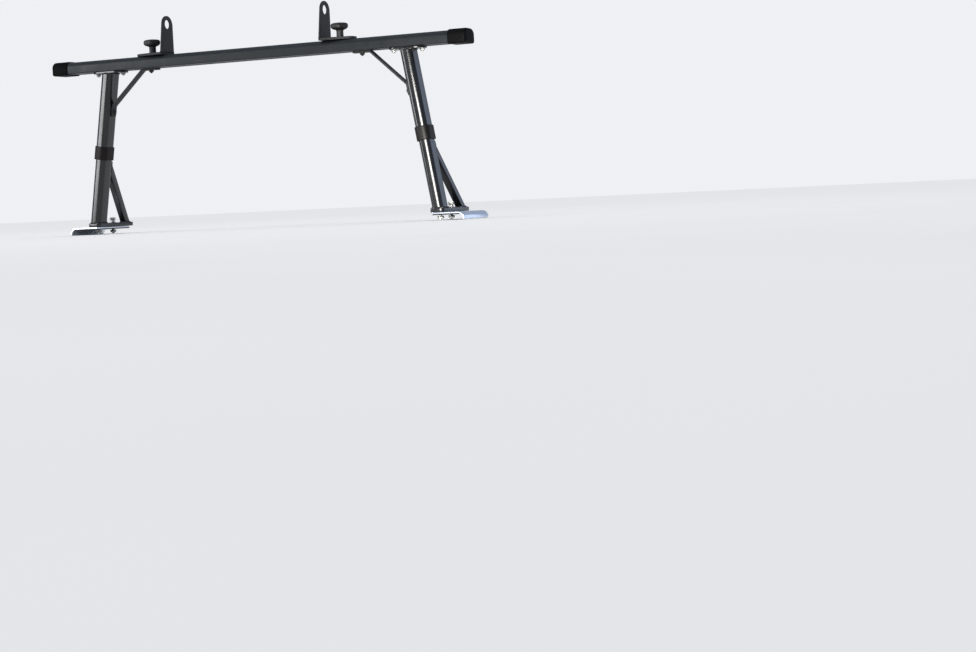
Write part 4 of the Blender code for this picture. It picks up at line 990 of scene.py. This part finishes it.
for side, word in SIDES:
    x = STOPS[word]
    half = STOP_BASE_WIDTH / 2
    tip = quarter((STOP_BASE_LENGTH - STOP_BASE_TIP, 0.006), STOP_BASE_TIP, 0, 80, 12)
    right = np.concatenate([tip, [(STOP_BASE_STRAIGHT, half), (0, half)]])
    loop = np.concatenate([right, right[::-1] * (1, -1)]) * (side, 1)
    base = moved(slab(loop, 0, STOP_BASE_THICK, STOP_BASE_EDGE), (x, LEG_Y, STOP_SEAT))
    reach = np.array([STOP_THICK / 2, half - 0.001])
    corner = round_rect(-reach, reach, 0.002, 4)
    seam = level(corner, STOP_BASE_THICK) + (x, LEG_Y, STOP_SEAT)
    weld = bead(seam, level(outward_of(corner), 0), np.array([0, 0, 1.0]), STOP_WELD, STOP_WELD)
    add_piece("load_stop_plate_" + word, [upright_plate(x), base, weld], TEXTURED_COAT,
              word + "_stop", ["load_stop_" + word])

# ------------------------------------------------------------------ hand knobs
# A five-lobed hand knob clamps each load stop. It is moulded round a brass insert and runs down
# a slot bolt on to a zinc plated washer.

KNOB_RADIUS, KNOB_LOBES, KNOB_LOBE_DEPTH = 0.029, 5, 0.004
HUB_RADIUS, HUB_HEIGHT, KNOB_HEAD_HEIGHT = 0.0115, 0.021, 0.023
WASHER_RADIUS, WASHER_THICK, WASHER_BORE = 0.013, 0.002, M8 + 0.0006
INSERT_LENGTH, STOP_BOLT_SPARE = 0.018, 0.004

# Black phenolic, compression moulded: a dry, slightly brown black with a soft sheen on the
# crowns of the lobes.
KNOB_PHENOLIC = moulded_finish("moulded_phenolic", (1.55, 0.30), "TexNoise",
                               {"Scale": 1000.0, "Detail": 3.0}, (0.3, 0.00008), 60.0,
                               ("#191919", "#252524"), (0.45, 0.60))

# Turned brass inside the knob: warm yellow metal with fine tool rings.
INSERT_BRASS, shader, place = new_finish("turned_brass", Metallic=1.0, Roughness=0.3)
rings_of_tool = add_node(INSERT_BRASS, "TexNoise", {"Vector": place, "Scale": 600.0})
tone = add_node(INSERT_BRASS, "Mix", {"Factor": rings_of_tool,
                                      "A": linear("#b8924a"), "B": linear("#d9b873")},
                data_type="RGBA")
set_inputs(INSERT_BRASS, shader, {"Base Color": tone})


def knob_surface():
    """The knob: a turned profile whose radius is cut back between the lobes.

    radius(v, angle) = profile(v) (1 - share(v) depth (1 - cos(5 angle)) / 2), where the share
    grows from 0 on the hub to 1 at the rim and falls to 0 again at the crown.
    """
    top = HUB_HEIGHT + KNOB_HEAD_HEIGHT
    profile = np.array([
        (0.0045, 0.0, 0), (0.0106, 0.0, 0), (HUB_RADIUS, 0.0009, 0), (0.0113, 0.008, 0),
        (0.0112, 0.0165, 0), (0.0118, 0.0192, 0.05), (0.0140, 0.0209, 0.25),
        (0.0185, 0.0222, 0.6), (0.0235, 0.0240, 0.9), (0.0268, 0.0262, 1), (0.0284, 0.0290, 1),
        (KNOB_RADIUS, 0.0325, 1), (0.0289, 0.0360, 1), (0.0280, 0.0388, 1), (0.0262, 0.0407, 0.95),
        (0.0235, 0.0421, 0.8), (0.0195, 0.0430, 0.5), (0.0140, 0.0436, 0.2),
        (0.0080, top - 0.0001, 0), (0.0030, top, 0)])
    share = np.linspace(0, len(profile) - 1, 70)
    fine = np.stack([np.interp(share, np.arange(len(profile)), profile[:, k])
                     for k in range(3)], 1)
    turn = np.linspace(0, 2 * pi, 160, endpoint=False)
    depth = KNOB_LOBE_DEPTH / KNOB_RADIUS
    wave = (1 - np.cos(KNOB_LOBES * turn)) / 2
    radius = fine[:, :1] * (1 - fine[:, 2:] * depth * wave)
    return shell(np.stack([radius * np.cos(turn), radius * np.sin(turn),
                           np.broadcast_to(fine[:, 1:2], radius.shape)], -1))


for side, word in SIDES:
    center = (STOPS[word] + side * KNOB_OFFSET, LEG_Y, 0)
    washer_z = STOP_SEAT + STOP_BASE_THICK + GAP
    hub_z = washer_z + WASHER_THICK + GAP
    washer = shell(lathe([(WASHER_BORE, 0), (WASHER_RADIUS - 0.0003, 0), (WASHER_RADIUS, 0.0004),
                          (WASHER_RADIUS, WASHER_THICK - 0.0004),
                          (WASHER_RADIUS - 0.0003, WASHER_THICK), (WASHER_BORE, WASHER_THICK)]),
                   "join")
    add_piece("plain_washer_" + word, [moved(moved(washer, (0, 0, washer_z)), center)],
              ZINC_PLATE, word + "_stop", ["stop_washer_" + word])
    head_z = BAR_TOP - SLOT_LIP - GAP
    bolt = [moved(square_head(), (0, 0, head_z - T_HEAD_THICK)),
            screw_thread(M8, PITCH_M8, head_z - 0.001, hub_z + INSERT_LENGTH + STOP_BOLT_SPARE)]
    add_piece("stop_slot_bolt_" + word, all_moved(bolt, center), ZINC_PLATE, word + "_stop",
              ["stop_t_bolt_" + word])
    add_piece("hand_knob_" + word, [moved(moved(knob_surface(), (0, 0, hub_z)), center)],
              KNOB_PHENOLIC, word + "_knob", ["knob_" + word])
    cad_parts["knob_insert_" + word].data.materials[0] = INSERT_BRASS
